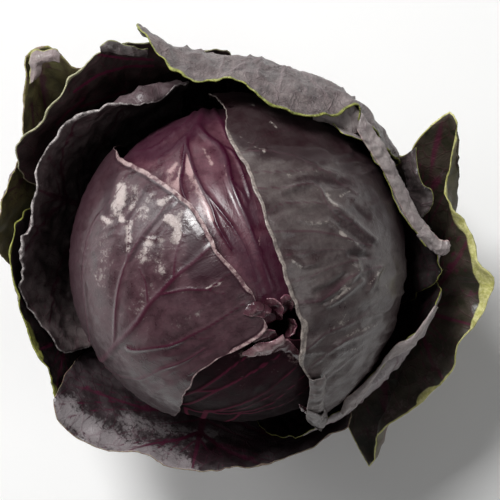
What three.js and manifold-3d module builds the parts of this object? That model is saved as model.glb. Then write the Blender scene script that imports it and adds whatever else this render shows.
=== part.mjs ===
// A red cabbage head with its loose outer leaves, cut at the stalk and standing on the cut.
// Units are millimetres and +Z is up. The origin is the centre of the flat cut face of the stalk.
// Each leaf is one closed blade: it grows from the stalk, follows or leaves the round head, and ends
// in its own rim. The blade is built on its venation: a midrib and side veins, raised on the outside.
import * as THREE from "three";
import { mergeVertices } from "three/addons/utils/BufferGeometryUtils.js";
import Module from "manifold-3d";

// Driving dimensions
const HEAD_HEIGHT = 102; // centre of the round head above the cut face
const HEART_RADIUS = 69.5; // the packed inner leaves
const HEART_DETAIL = 5;
const STALK_RADIUS = 16.8;
const STALK_TOP = 31.8;
const STALK_SIDES = 24;
const STALK_PROFILE = [[15.4, 0], [16.6, 1.2], [16, 9], [STALK_RADIUS, 20], [15.6, 28], [11.8, STALK_TOP]];
const STALK_GAP = 0.8; // clear space between a leaf's foot and the stalk
const BLADE_THICKNESS = 1.0;
const FOOT_HALF_WIDTH = 13; // half the width of a leaf where it leaves the stalk

// Venation. Places along a side of the rim are shares of its length from the foot to the tip.
const MIDRIB_HALF_WIDTH = { foot: 5.0, tip: 1.6 };
const MIDRIB_TIP_HEIGHT = 0.25; // share of the midrib's height that is left at its tip
const VEIN_PLACES = [0.17, 0.4, 0.63, 0.86];
const PLAIN_PLACES = [0, 0.07, 0.3, 0.53, 0.76, 0.96, 1];
const VEIN_SHOULDER = 0.016; // from a vein's crest to its foot
const VEIN_FADE = 0.7; // share of a vein's height that is lost on the way to the rim
const FORK = 0.45; // where the midrib ends in the rim's fan, as a share of the tip's reach
const HEAD_STEPS = [0, 0.16, 0.34, 0.51, 0.68, 0.85, 1]; // from the midrib's edge to the rim
const OUTER_STEPS = [0, 0.24, 0.47, 0.68, 0.86, 1];

// Wet, shiny head leaves, and duller outer leaves
const HEAD_ROUGHNESS = 0.4;
const OUTER_ROUGHNESS = 0.55;

// Form of the blade between its middle and its rim
const BEND = 2; // power by which it goes from its middle radius to its rim's radius
const RUFFLES = [{ waves: 5, height: 1 }, { waves: 9, height: 0.6 }];
const RUFFLE_BEND = 4; // power by which the rim's ruffles grow towards it
const FLAT_FOOT = 3; // ruffles fade in over this many half widths of the foot
const ROLL_START = 0.86; // share of the reach where a rolled rim starts to turn
const ROLL_PROBE = 0.02; // a small step of share, or of bearing, to take directions over
const RIM_SAMPLES = 120;

// The crumpled leaf ends at the crown: short wavy blades that stand out of the heart. Each runs
// between two places on it, given by azimuth and angle from the top, and stands out to top.
const CRUMPLES = [
  { from: [299, 26.5], to: [322, 27.5], top: 78.2, lean: -0.6 },
  { from: [306, 31], to: [319, 38], top: 77.6, lean: 0.8 },
  { from: [326, 33], to: [330, 43], top: 78.8, lean: -0.8 },
];
const CRUMPLE_ROOT = 3; // depth of a crumple's root in the heart
const CRUMPLE_NECK = 2; // height of its middle row above the heart
const CRUMPLE_WAVE = 0.8;
const CRUMPLE_TURN = 2.1; // phase of the wave from one split to the next
const CRUMPLE_ARCH = 3; // how much lower its ends are than its middle
const CRUMPLE_SPLITS = 9;
const WELD = 1e-4; // corners closer than this are one corner

const radians = THREE.MathUtils.degToRad;
const centre = new THREE.Vector3(0, 0, HEAD_HEIGHT);

// A rim point by its azimuth, its distance out from the upright axis and its height above the cut.
// roll is how far the rim turns there, in degrees, and is positive towards the head.
function plan(azimuth, out, up, roll = 0) {
  const a = radians(azimuth);
  const place = new THREE.Vector3(out * Math.cos(a), out * Math.sin(a), up).sub(centre);
  return { place, roll };
}

// A rim point close round the head, by its azimuth, its angle from the top and its radius.
function round(azimuth, fromTop, radius, roll = 0) {
  const t = radians(fromTop);
  return plan(azimuth, radius * Math.sin(t), HEAD_HEIGHT + radius * Math.cos(t), roll);
}

// Head leaves, from the innermost. foot is the height at which the leaf leaves the stalk, and
// middle is its radius from the head's centre at the middle of the blade.
const HEAD_LEAVES = [
  {
    name: "head_leaf_top", colour: 0x6a2440, azimuth: 100, elevation: 42, foot: 30, middle: 73.2,
    ridge: 0.5, midrib: 0.7, ruffle: 0.1, rim: [
      round(62, 138, 73.0), round(48, 108, 72.6), round(42, 78, 72.6), round(34, 52, 72.8),
      round(12, 34, 73.0), round(330, 27, 72.8), round(290, 24, 72.8), round(215, 27, 73.0),
      round(172, 44, 73.0), round(156, 68, 72.8), round(152, 98, 72.6), round(142, 135, 73.0),
    ],
  },
  {
    name: "head_leaf_bottom", colour: 0x3a1828, azimuth: 256, elevation: 24, foot: 27.6, middle: 75.8,
    ridge: 0.5, midrib: 0.8, ruffle: 0.1, rim: [
      round(204, 138, 75.6), round(192, 105, 75.2), round(192, 72, 75.2), round(208, 46, 75.4),
      round(238, 30, 75.6), round(286, 25, 76.0), round(306, 33, 76.2), round(319, 46, 76.0),
      round(325, 72, 75.6), round(320, 106, 75.4), round(298, 138, 75.6),
    ],
  },
  {
    name: "head_leaf_left", colour: 0x6b3a4a, azimuth: 206, elevation: 26, foot: 25.2, middle: 79.4,
    ridge: 0.6, midrib: 0.8, ruffle: 0.2, rim: [
      round(150, 138, 78.4), round(134, 106, 78.6), round(137, 77, 79.8), round(137, 56, 80.2),
      round(133, 42, 80.4), round(128, 27, 80.4), round(126, 19, 80.4), round(140, 8, 80.4),
      round(294, 4, 80.4), round(299, 9, 80.2), round(296, 23, 80.0), round(260, 33, 79.8),
      round(250, 43, 79.6), round(249, 57, 79.4), round(248, 82, 79.2), round(240, 118, 78.6),
    ],
  },
  {
    name: "head_leaf_right", colour: 0x5a5054, azimuth: 12, elevation: 24, foot: 22.8, middle: 80.8,
    ridge: 0.6, midrib: 0.8, ruffle: 0.3, rim: [
      round(322, 134, 80.6), round(306, 110, 80.8), round(299, 88, 83.4), round(297, 76, 82.0),
      round(302, 54, 81.2), round(303, 40, 81.2), round(310, 34, 81.4), round(319, 28, 81.6),
      round(334, 19, 82.0), round(352, 15, 82.4), round(38, 14, 82.4), round(68, 20, 82.4),
      round(80, 28, 82.2), round(92, 42, 81.4), round(94, 60, 80.6), round(98, 98, 79.8),
      round(78, 134, 80.2),
    ],
  },
];

// Loose outer leaves, in the order in which they leave the stalk, from the top down.
const OUTER_LEAVES = [
  {
    name: "outer_leaf_right_top", colour: 0x8d848a, azimuth: 22, elevation: -14, foot: 20.0, middle: 86,
    ridge: 0.6, midrib: 1.6, ruffle: 0.5, rim: [
      round(346, 136, 86.5), round(345, 114, 87.5), plan(350, 90, 92), plan(355, 97, 106),
      plan(1, 100, 114, 40), plan(5, 91, 119), plan(11, 85, 122), plan(18, 81, 126),
      plan(26, 81, 129), plan(36, 80, 133), plan(44, 81, 137), plan(51, 78, 142),
      plan(60, 80, 126), plan(66, 85, 96), round(58, 136, 87),
    ],
  },
  {
    name: "outer_leaf_left", colour: 0x2c2227, azimuth: 160, elevation: -20, foot: 18.2, middle: 92,
    ridge: 0.8, midrib: 1.8, ruffle: 1.2, rim: [
      round(122, 136, 88.5), plan(107, 86, 82), plan(106, 90, 114), plan(113, 92, 132, 90),
      plan(122, 92, 135, 60), plan(130, 94, 136), plan(136, 98, 136), plan(143, 100, 134),
      plan(150, 100, 132), plan(157, 100, 129), plan(167, 100, 122), plan(175, 101, 118),
      plan(182, 102, 112), plan(188, 102, 106), plan(197, 100, 96), plan(208, 96, 82),
      round(210, 116, 90), round(196, 136, 88.5),
    ],
  },
  {
    name: "outer_leaf_right_bottom", colour: 0x3a2f36, azimuth: 312, elevation: -22, foot: 16.4,
    middle: 92, ridge: 0.8, midrib: 1.8, ruffle: 1.0, rim: [
      round(278, 136, 89.5), round(278, 114, 89), plan(288, 89, 92), plan(305, 90, 108, 50),
      plan(310, 86, 114, 60), plan(317, 85, 118, 60), plan(326, 86, 120, 50),
      plan(333, 90, 120, 30), plan(342, 94, 118), plan(348, 98, 116), plan(354, 97, 96),
      round(352, 114, 93), round(340, 136, 91),
    ],
  },
  {
    name: "outer_leaf_top", colour: 0x9a8f95, azimuth: 76, elevation: -12, foot: 14.8, middle: 96.5,
    ridge: 0.9, midrib: 1.9, ruffle: 1.0, bend: 4, rim: [
      round(40, 136, 93), plan(31, 90, 78), plan(34, 91, 108), plan(38, 89, 122),
      plan(43, 86, 132), plan(49, 87, 138), plan(52, 91, 141), plan(56, 83, 147),
      plan(66, 73, 157), plan(78, 73, 159), plan(88, 82, 156), plan(94, 83, 154),
      plan(101, 81, 151), plan(108, 90, 145), plan(110, 100, 140), plan(113, 121, 128),
      plan(117, 99, 98), round(113, 124, 94),
    ],
  },
  {
    name: "outer_leaf_bottom", colour: 0x5d5559, azimuth: 258, elevation: -24, foot: 12.6, middle: 97,
    ridge: 0.9, midrib: 1.9, ruffle: 1.2, rim: [
      round(220, 136, 94), plan(212, 96, 74), plan(217, 109, 92), plan(222, 115, 90),
      plan(231, 114, 88), plan(241, 108, 88), plan(249, 105, 88), plan(258, 104, 88),
      plan(274, 100, 88), plan(290, 96, 90), plan(297, 96, 92), plan(304, 96, 94),
      round(308, 112, 96), round(302, 136, 94.5),
    ],
  },
  {
    name: "outer_leaf_right", colour: 0x23201c, azimuth: 345, elevation: -22, foot: 10.8, middle: 101,
    ridge: 0.9, midrib: 2.0, ruffle: 1.4, rim: [
      round(312, 134, 98), plan(304, 100, 50), plan(303, 126, 54), plan(309, 113, 68),
      plan(317, 112, 74), plan(328, 116, 82), plan(343, 120, 90), plan(348, 125, 94),
      plan(356, 126, 98), plan(2, 117, 100), plan(9, 112, 102), plan(17, 108, 106),
      plan(27, 117, 116), plan(32, 125, 124), plan(35, 124, 122), plan(36, 109, 112),
      plan(34, 98, 96), plan(34, 92, 70), round(26, 136, 96),
    ],
  },
  {
    name: "outer_leaf_left_top", colour: 0x241a20, azimuth: 124, elevation: -18, foot: 9.0, middle: 103,
    ridge: 0.9, midrib: 2.0, ruffle: 1.4, rim: [
      round(92, 136, 101), round(88, 106, 102.5), plan(96, 103, 98), plan(106, 107, 104),
      plan(113, 112, 110), plan(119, 118, 124), plan(122, 118, 133), plan(126, 116, 136),
      plan(131, 116, 134), plan(139, 112, 132), plan(145, 112, 128), plan(151, 113, 124),
      plan(157, 111, 108), plan(161, 101, 80), round(152, 136, 98.5),
    ],
  },
  {
    name: "outer_leaf_left_bottom", colour: 0x2c2629, azimuth: 204, elevation: -24, foot: 7.3,
    middle: 101, ridge: 0.8, midrib: 1.3, ruffle: 1.2, rim: [
      round(171, 136, 98.5), plan(164, 100, 72), plan(168, 107, 98), plan(175, 109, 112),
      plan(186, 107, 112), plan(193, 106, 108), plan(200, 106, 104), plan(208, 108, 98),
      plan(216, 114, 90), plan(228, 113, 74), plan(237, 96, 54), round(236, 136, 101),
    ],
  },
  {
    name: "outer_leaf_far_left", colour: 0x2a2a1c, azimuth: 150, elevation: -22, foot: 4.2, middle: 109,
    ridge: 0.9, midrib: 2.0, ruffle: 1.4, rim: [
      round(122, 136, 104), plan(115, 104, 66), plan(119, 113, 96), plan(129, 122, 118),
      plan(131, 134, 124), plan(135, 138, 122), plan(142, 126, 116), plan(152, 117, 112),
      plan(164, 115, 106), plan(174, 115, 100), plan(181, 113, 80), plan(182, 102, 52),
      round(176, 136, 107),
    ],
  },
];

// Smooth closed curve through rows of [bearing, value], with no overshoot between rows.
function closedCurve(rows) {
  const turn = 2 * Math.PI;
  const x = rows.map((r) => r[0]);
  const y = rows.map((r) => r[1]);
  const n = rows.length;
  const step = x.map((a, i) => (i + 1 < n ? x[i + 1] - a : x[0] + turn - a));
  const rise = y.map((a, i) => (y[(i + 1) % n] - a) / step[i]);
  const slope = y.map((_, i) => {
    const before = rise[(i + n - 1) % n];
    const after = rise[i];
    return before * after <= 0 ? 0 : (2 * before * after) / (before + after);
  });
  return (bearing) => {
    let i = x.findLastIndex((a) => a <= bearing);
    let from = bearing;
    if (i < 0) {
      i = n - 1;
      from += turn;
    }
    const j = (i + 1) % n;
    const t = (from - x[i]) / step[i];
    const t2 = t * t;
    const t3 = t2 * t;
    return (
      (2 * t3 - 3 * t2 + 1) * y[i] + (t3 - 2 * t2 + t) * step[i] * slope[i] +
      (3 * t2 - 2 * t3) * y[j] + (t3 - t2) * step[i] * slope[j]
    );
  };
}

// The leaf as a surface. (p, q) is a place on the flat leaf, in radians of arc round the head:
// p runs along the midrib, from the foot at a negative value to the tip, and q to the side.
function leafSurface(leaf) {
  const az = radians(leaf.azimuth);
  const el = radians(leaf.elevation);
  const out = new THREE.Vector3(Math.cos(el) * Math.cos(az), Math.cos(el) * Math.sin(az), Math.sin(el));
  const down = new THREE.Vector3(Math.sin(el) * Math.cos(az), Math.sin(el) * Math.sin(az), -Math.cos(el));
  const side = new THREE.Vector3(-Math.sin(az), Math.cos(az), 0);

  const footOut = STALK_RADIUS + STALK_GAP;
  const footDrop = HEAD_HEIGHT - leaf.foot;
  const footRadius = Math.hypot(footOut, footDrop);
  const footReach = Math.PI / 2 + el - Math.atan2(footOut, footDrop);
  const footBearing = Math.atan2(FOOT_HALF_WIDTH / footRadius, Math.sin(footReach));

  const rows = leaf.rim.map(({ place, roll }) => {
    const dir = place.clone().normalize();
    const bearing = Math.atan2(dir.dot(side), dir.dot(down));
    return { bearing, reach: Math.acos(dir.dot(out)), radius: place.length(), roll: radians(roll) };
  });
  for (const bearing of [-footBearing, footBearing])
    rows.push({ bearing, reach: footReach, radius: footRadius, roll: 0 });
  rows.sort((a, b) => a.bearing - b.bearing);
  const reach = closedCurve(rows.map((r) => [r.bearing, r.reach]));
  const rimRadius = closedCurve(rows.map((r) => [r.bearing, r.radius]));
  const roll = closedCurve(rows.map((r) => [r.bearing, r.roll]));

  const bend = leaf.bend ?? BEND;
  const phase = az;

  // The place at a share of the way from the blade's middle to its rim, without the roll.
  function unrolled(share, bearing) {
    const alpha = share * reach(bearing);
    const wave = RUFFLES.reduce(
      (sum, { waves, height }, i) => sum + height * Math.sin(waves * bearing + (2 * i + 1) * phase), 0);
    const fade = Math.min(1, Math.abs(bearing) / (FLAT_FOOT * footBearing));
    const radius = leaf.middle + (rimRadius(bearing) - leaf.middle) * share ** bend +
      leaf.ruffle * wave * fade * share ** RUFFLE_BEND;
    return new THREE.Vector3()
      .addScaledVector(out, Math.cos(alpha))
      .addScaledVector(down, Math.sin(alpha) * Math.cos(bearing))
      .addScaledVector(side, Math.sin(alpha) * Math.sin(bearing))
      .multiplyScalar(radius);
  }

  function at(p, q) {
    const bearing = Math.atan2(q, -p);
    const share = Math.hypot(p, q) / reach(bearing);
    const turn = roll(bearing);
    if (share <= ROLL_START || Math.abs(turn) < 1e-3) return unrolled(share, bearing).add(centre);
    const start = unrolled(ROLL_START, bearing);
    const along = start.clone().sub(unrolled(ROLL_START - ROLL_PROBE, bearing)).normalize();
    const across = unrolled(ROLL_START, bearing + ROLL_PROBE)
      .sub(unrolled(ROLL_START, bearing - ROLL_PROBE));
    const inward = along.clone().cross(across).normalize();
    if (inward.dot(start) > 0) inward.negate();
    const length = (share - ROLL_START) * reach(bearing) * start.length();
    const angle = (turn * (share - ROLL_START)) / (1 - ROLL_START);
    return start
      .addScaledVector(along, (Math.sin(angle) / angle) * length)
      .addScaledVector(inward, ((1 - Math.cos(angle)) / angle) * length)
      .add(centre);
  }

  // The bearing at a share of the rim's length from the foot's corner to the tip, on one side.
  function rimBearing(hand) {
    const bearings = [];
    const lengths = [0];
    for (let i = 0; i <= RIM_SAMPLES; i++) {
      const bearing = hand * THREE.MathUtils.lerp(footBearing, Math.PI, i / RIM_SAMPLES);
      bearings.push(bearing);
      if (i === 0) continue;
      const from = reach(bearings[i - 1]);
      const to = reach(bearing);
      const turn = (to + from) / 2 * Math.abs(bearing - bearings[i - 1]);
      lengths.push(lengths[i - 1] + Math.hypot(turn, to - from));
    }
    return (share) => {
      const length = share * lengths[RIM_SAMPLES];
      const i = Math.min(RIM_SAMPLES - 1, Math.max(0, lengths.findLastIndex((l) => l <= length)));
      const t = (length - lengths[i]) / (lengths[i + 1] - lengths[i]);
      return THREE.MathUtils.lerp(bearings[i], bearings[i + 1], t);
    };
  }
  return { at, reach, rimBearing, footReach, tipReach: reach(Math.PI) };
}

// The lines that a blade is built on, on one side: plain lines, and veins with their shoulders.
function veinLines() {
  const lines = PLAIN_PLACES.map((place) => ({ place, crest: false }));
  for (const place of VEIN_PLACES) {
    lines.push({ place: place - VEIN_SHOULDER, crest: false });
    lines.push({ place, crest: true });
    lines.push({ place: place + VEIN_SHOULDER, crest: false });
  }
  return lines.sort((a, b) => a.place - b.place);
}

// A closed blade from the points and triangles of its middle surface: two faces split alike, half
// a thickness to each side, and the rim between them. ridge is what a point adds to the outside.
function closedBlade(points, triangles, outwards) {
  const normals = points.map(() => new THREE.Vector3());
  for (const [a, b, c] of triangles) {
    const toB = points[b].place.clone().sub(points[a].place);
    const toC = points[c].place.clone().sub(points[a].place);
    for (const i of [a, b, c]) normals[i].add(toB.clone().cross(toC));
  }
  const sum = normals.reduce((total, normal) => total + normal.dot(outwards), 0);
  for (const normal of normals) normal.normalize().multiplyScalar(Math.sign(sum));

  const positions = [];
  const half = BLADE_THICKNESS / 2;
  points.forEach(({ place, ridge }, i) => {
    positions.push(...place.clone().addScaledVector(normals[i], half + ridge).toArray());
  });
  points.forEach(({ place }, i) => {
    positions.push(...place.clone().addScaledVector(normals[i], -half).toArray());
  });

  const inside = points.length;
  const faces = [];
  const open = new Map(); // edges that belong to one triangle alone
  for (const [a, b, c] of triangles) {
    const face = sum > 0 ? [a, b, c] : [a, c, b];
    faces.push(...face, face[0] + inside, face[2] + inside, face[1] + inside);
    face.forEach((from, k) => {
      const to = face[(k + 1) % 3];
      if (!open.delete(`${to},${from}`)) open.set(`${from},${to}`, [from, to]);
    });
  }
  for (const [from, to] of open.values())
    faces.push(to, from, from + inside, to, from + inside, to + inside);
  return new THREE.BufferGeometry()
    .setAttribute("position", new THREE.Float32BufferAttribute(positions, 3))
    .setIndex(faces);
}

// One leaf, on the lines of its venation: each runs from the midrib out to the rim.
function leafGeometry(leaf, steps) {
  const surface = leafSurface(leaf);
  const lines = veinLines();
  const last = lines.length - 1;
  const points = [];
  const add = (p, q, ridge) => points.push({ place: surface.at(p, q), ridge }) - 1;
  const rootOf = ({ place }) => -surface.footReach + (surface.footReach + FORK * surface.tipReach) * place;

  function addLine(line, bearing) {
    const root = rootOf(line);
    const end = surface.reach(bearing);
    const run = { p: -end * Math.cos(bearing) - root, q: end * Math.sin(bearing) };
    const { foot, tip } = MIDRIB_HALF_WIDTH;
    const edge = THREE.MathUtils.lerp(foot, tip, line.place) / leaf.middle / Math.hypot(run.p, run.q);
    return steps.map((step) => {
      const t = edge + (1 - edge) * step;
      const ridge = line.crest ? leaf.ridge * (1 - VEIN_FADE * step) : 0;
      return add(root + run.p * t, run.q * t, ridge);
    });
  }

  const midrib = lines.map((line) =>
    add(rootOf(line), 0, leaf.midrib * THREE.MathUtils.lerp(1, MIDRIB_TIP_HEIGHT, line.place)));
  const tipLine = addLine(lines[last], Math.PI);
  const triangles = [];
  for (const hand of [-1, 1]) {
    const bearingAt = surface.rimBearing(hand);
    const grid = lines.map((line, i) =>
      [midrib[i], ...(i === last ? tipLine : addLine(line, bearingAt(line.place)))]);
    for (let i = 0; i < last; i++)
      for (let row = 0; row < steps.length; row++) {
        const [a, d] = grid[i].slice(row, row + 2);
        const [b, c] = grid[i + 1].slice(row, row + 2);
        triangles.push(...(hand > 0 ? [[a, b, c], [a, c, d]] : [[a, c, b], [a, d, c]]));
      }
  }
  return closedBlade(points, triangles, surface.at(0, 0).sub(centre));
}

// The cut stalk, a little waisted, with the flat cut face underneath.
function stalkGeometry() {
  const profile = [[0, 0], ...STALK_PROFILE, [0, STALK_TOP]].map(([x, z]) => new THREE.Vector2(x, z));
  return new THREE.LatheGeometry(profile, STALK_SIDES).rotateX(Math.PI / 2);
}

// One crumpled leaf end: rows from its root in the heart to its wavy edge.
function crumpleGeometry({ from, to, top, lean }) {
  const start = round(...from, 1).place;
  const end = round(...to, 1).place;
  const across = start.clone().cross(end).normalize();
  const points = [];
  const triangles = [];
  for (let i = 0; i <= CRUMPLE_SPLITS; i++) {
    const t = i / CRUMPLE_SPLITS;
    const edge = top - CRUMPLE_ARCH * (2 * t - 1) ** 2;
    const heights = [HEART_RADIUS - CRUMPLE_ROOT, HEART_RADIUS + CRUMPLE_NECK, edge];
    heights.forEach((height, row) => {
      const wave = row * (CRUMPLE_WAVE * Math.sin(i * CRUMPLE_TURN) + lean / 2);
      const place = start.clone().lerp(end, t).setLength(height).addScaledVector(across, wave);
      points.push({ place: place.add(centre), ridge: 0 });
      if (i === 0 || row === 0) return;
      const here = points.length - 1;
      const back = here - heights.length;
      triangles.push([back - 1, here - 1, here], [back - 1, here, back]);
    });
  }
  return closedBlade(points, triangles, across);
}

// The packed inner leaves: a ball with the crumpled leaf ends joined to it at the crown.
function heartGeometry(wasm) {
  const solids = [
    new THREE.IcosahedronGeometry(HEART_RADIUS, HEART_DETAIL).translate(0, 0, HEAD_HEIGHT),
    ...CRUMPLES.map(crumpleGeometry),
  ].map((geometry) => {
    const welded = mergeVertices(bare(geometry), WELD);
    return new wasm.Manifold(new wasm.Mesh({
      numProp: 3,
      vertProperties: new Float32Array(welded.getAttribute("position").array),
      triVerts: new Uint32Array(welded.getIndex().array),
    }));
  });
  const joined = solids.reduce((whole, solid) => whole.add(solid)).getMesh();
  return new THREE.BufferGeometry()
    .setAttribute("position", new THREE.BufferAttribute(joined.vertProperties, 3))
    .setIndex(new THREE.BufferAttribute(joined.triVerts, 1));
}

// The geometry with its positions alone, so that corners at one place can be merged.
function bare(geometry) {
  return new THREE.BufferGeometry()
    .setAttribute("position", geometry.getAttribute("position"))
    .setIndex(geometry.getIndex());
}

function addPart(group, name, geometry, colour, roughness) {
  const mesh = new THREE.Mesh(
    geometry, new THREE.MeshStandardMaterial({ color: colour, roughness, metalness: 0 }));
  mesh.name = name;
  group.add(mesh);
}

const wasm = await Module();
wasm.setup();

const cabbage = new THREE.Group();
addPart(cabbage, "stalk", stalkGeometry(), 0xb9b08c, 0.7);
addPart(cabbage, "heart", heartGeometry(wasm), 0x3a1026, 0.45);
for (const leaf of HEAD_LEAVES)
  addPart(cabbage, leaf.name, leafGeometry(leaf, HEAD_STEPS), leaf.colour, HEAD_ROUGHNESS);
for (const leaf of OUTER_LEAVES)
  addPart(cabbage, leaf.name, leafGeometry(leaf, OUTER_STEPS), leaf.colour, OUTER_ROUGHNESS);

export default cabbage;
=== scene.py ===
import math
from types import SimpleNamespace

import bpy
import numpy as np
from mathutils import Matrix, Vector


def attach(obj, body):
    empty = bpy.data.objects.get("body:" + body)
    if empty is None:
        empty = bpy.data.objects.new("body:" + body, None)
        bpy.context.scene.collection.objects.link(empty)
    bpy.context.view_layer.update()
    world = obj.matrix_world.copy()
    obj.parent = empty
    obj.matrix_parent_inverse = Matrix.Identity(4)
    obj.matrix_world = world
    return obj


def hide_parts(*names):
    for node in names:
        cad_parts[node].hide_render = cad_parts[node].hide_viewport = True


# A red cabbage head with its loose outer leaves, seen from its crown.
# Lengths are millimetres in the frame's own axes, and become metres where a mesh is made.
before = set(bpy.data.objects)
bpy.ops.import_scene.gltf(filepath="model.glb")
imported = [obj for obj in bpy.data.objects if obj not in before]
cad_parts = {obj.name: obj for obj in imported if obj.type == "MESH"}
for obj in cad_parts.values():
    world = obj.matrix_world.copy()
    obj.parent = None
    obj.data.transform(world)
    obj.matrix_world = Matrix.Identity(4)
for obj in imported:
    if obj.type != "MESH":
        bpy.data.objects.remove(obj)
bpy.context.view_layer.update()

MM = 0.001
TURN = 2 * math.pi

# Driving dimensions, the same as the frame's
HEAD_HEIGHT = 102.0  # centre of the round head above the cut face
HEAD_CENTRE = np.array([0, 0, HEAD_HEIGHT])
HEART_RADIUS = 69.5
STALK_RADIUS = 16.8
STALK_TOP = 31.8
STALK_PROFILE = [(15.4, 0), (16.6, 1.2), (16, 9), (STALK_RADIUS, 20), (15.6, 28), (11.8, STALK_TOP)]
STALK_GAP = 0.8  # between the stalk's skin and the foot of a leaf
FOOT_HALF_WIDTH = 13.0
FORK = 0.45  # where the midrib ends in the rim's fan, as a share of the tip's reach
BEND = 2  # power by which a leaf leaves its round middle for the radius of its rim
RUFFLES = [(5, 1.0), (9, 0.6)]  # waves round the leaf and their height
RUFFLE_BEND = 4
FLAT_FOOT = 3  # half widths of the foot over which notches and ruffles grow from nothing
NOTCHES = 0.7  # depth of the small notches of a grown edge
ROLL_START = 0.86  # where a rolled rim begins, as a share of the reach
ROLL_PROBE = 0.02
RIM_SAMPLES = 240
EDGE_SAMPLES = 400

# The camera looks straight down on the crown
CAMERA_X = 6.75
CAMERA_Y = 5.8
CAMERA_HEIGHT = 1002.0
SENSOR = 36.0
LENS = 134.4
PHOTO_SIZE = 500
HALF_PHOTO = PHOTO_SIZE / 2
FOCAL_PIXELS = LENS / SENSOR * PHOTO_SIZE

# Thickness of a blade, at its middle and at its rim
THICKNESS = 1.0
RIM_THICKNESS = 0.45


def plan(azimuth, out, up, roll=0.0):
    """A rim point by its azimuth, its distance out from the upright axis and its height."""
    a = math.radians(azimuth)
    return (out * math.cos(a), out * math.sin(a), up - HEAD_HEIGHT, math.radians(roll))


def near(azimuth, from_top, radius, roll=0.0):
    """A rim point close round the head, by its azimuth, its angle from the top and its radius."""
    t = math.radians(from_top)
    return plan(azimuth, radius * math.sin(t), HEAD_HEIGHT + radius * math.cos(t), roll)


# Head leaves, from the innermost. All outlines follow those of the frame's own leaves.
HEAD_LEAVES = [
    {
        "name": "head_leaf_top", "azimuth": 100, "elevation": 42, "foot": 30.0, "middle": 73.2,
        "ruffle": 0.1, "rim": [
            near(62, 138, 73.0), near(48, 108, 72.6), near(42, 78, 72.6), near(34, 52, 72.8),
            near(12, 34, 73.0), near(330, 27, 72.8), near(290, 24, 72.8), near(215, 27, 73.0),
            near(172, 44, 73.0), near(156, 68, 72.8), near(152, 98, 72.6), near(142, 135, 73.0),
        ],
    },
    {
        "name": "head_leaf_bottom", "azimuth": 256, "elevation": 24, "foot": 27.6, "middle": 75.8,
        "ruffle": 0.1, "rim": [
            near(204, 138, 75.6), near(192, 105, 75.2), near(192, 72, 75.2), near(208, 46, 75.4),
            near(238, 30, 75.6), near(286, 25, 76.0), near(306, 33, 76.2), near(319, 46, 76.0),
            near(325, 72, 75.6), near(320, 106, 75.4), near(298, 138, 75.6),
        ],
    },
    {
        "name": "head_leaf_left", "azimuth": 206, "elevation": 26, "foot": 25.2, "middle": 79.4,
        "ruffle": 0.2, "rim": [
            near(150, 138, 78.4), near(134, 106, 78.6), near(137, 77, 79.8), near(137, 56, 80.2),
            near(133, 42, 80.4), near(128, 27, 80.4), near(126, 19, 80.4), near(140, 8, 80.4),
            near(294, 4, 80.4), near(299, 9, 80.2), near(296, 23, 80.0), near(260, 33, 79.8),
            near(250, 43, 79.6), near(249, 57, 79.4), near(248, 82, 79.2), near(240, 118, 78.6),
        ],
    },
    {
        "name": "head_leaf_right", "azimuth": 12, "elevation": 24, "foot": 22.8, "middle": 80.8,
        "ruffle": 0.3, "rim": [
            near(322, 134, 80.6), near(306, 110, 80.8), near(299, 88, 83.4), near(297, 76, 82.0),
            near(302, 54, 81.2), near(303, 40, 81.2), near(310, 34, 81.4), near(319, 28, 81.6),
            near(334, 19, 82.0), near(352, 15, 82.4), near(38, 14, 82.4), near(68, 20, 82.4),
            near(80, 28, 82.2), near(92, 42, 81.4), near(94, 60, 80.6), near(98, 98, 79.8),
            near(78, 134, 80.2),
        ],
    },
]

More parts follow.
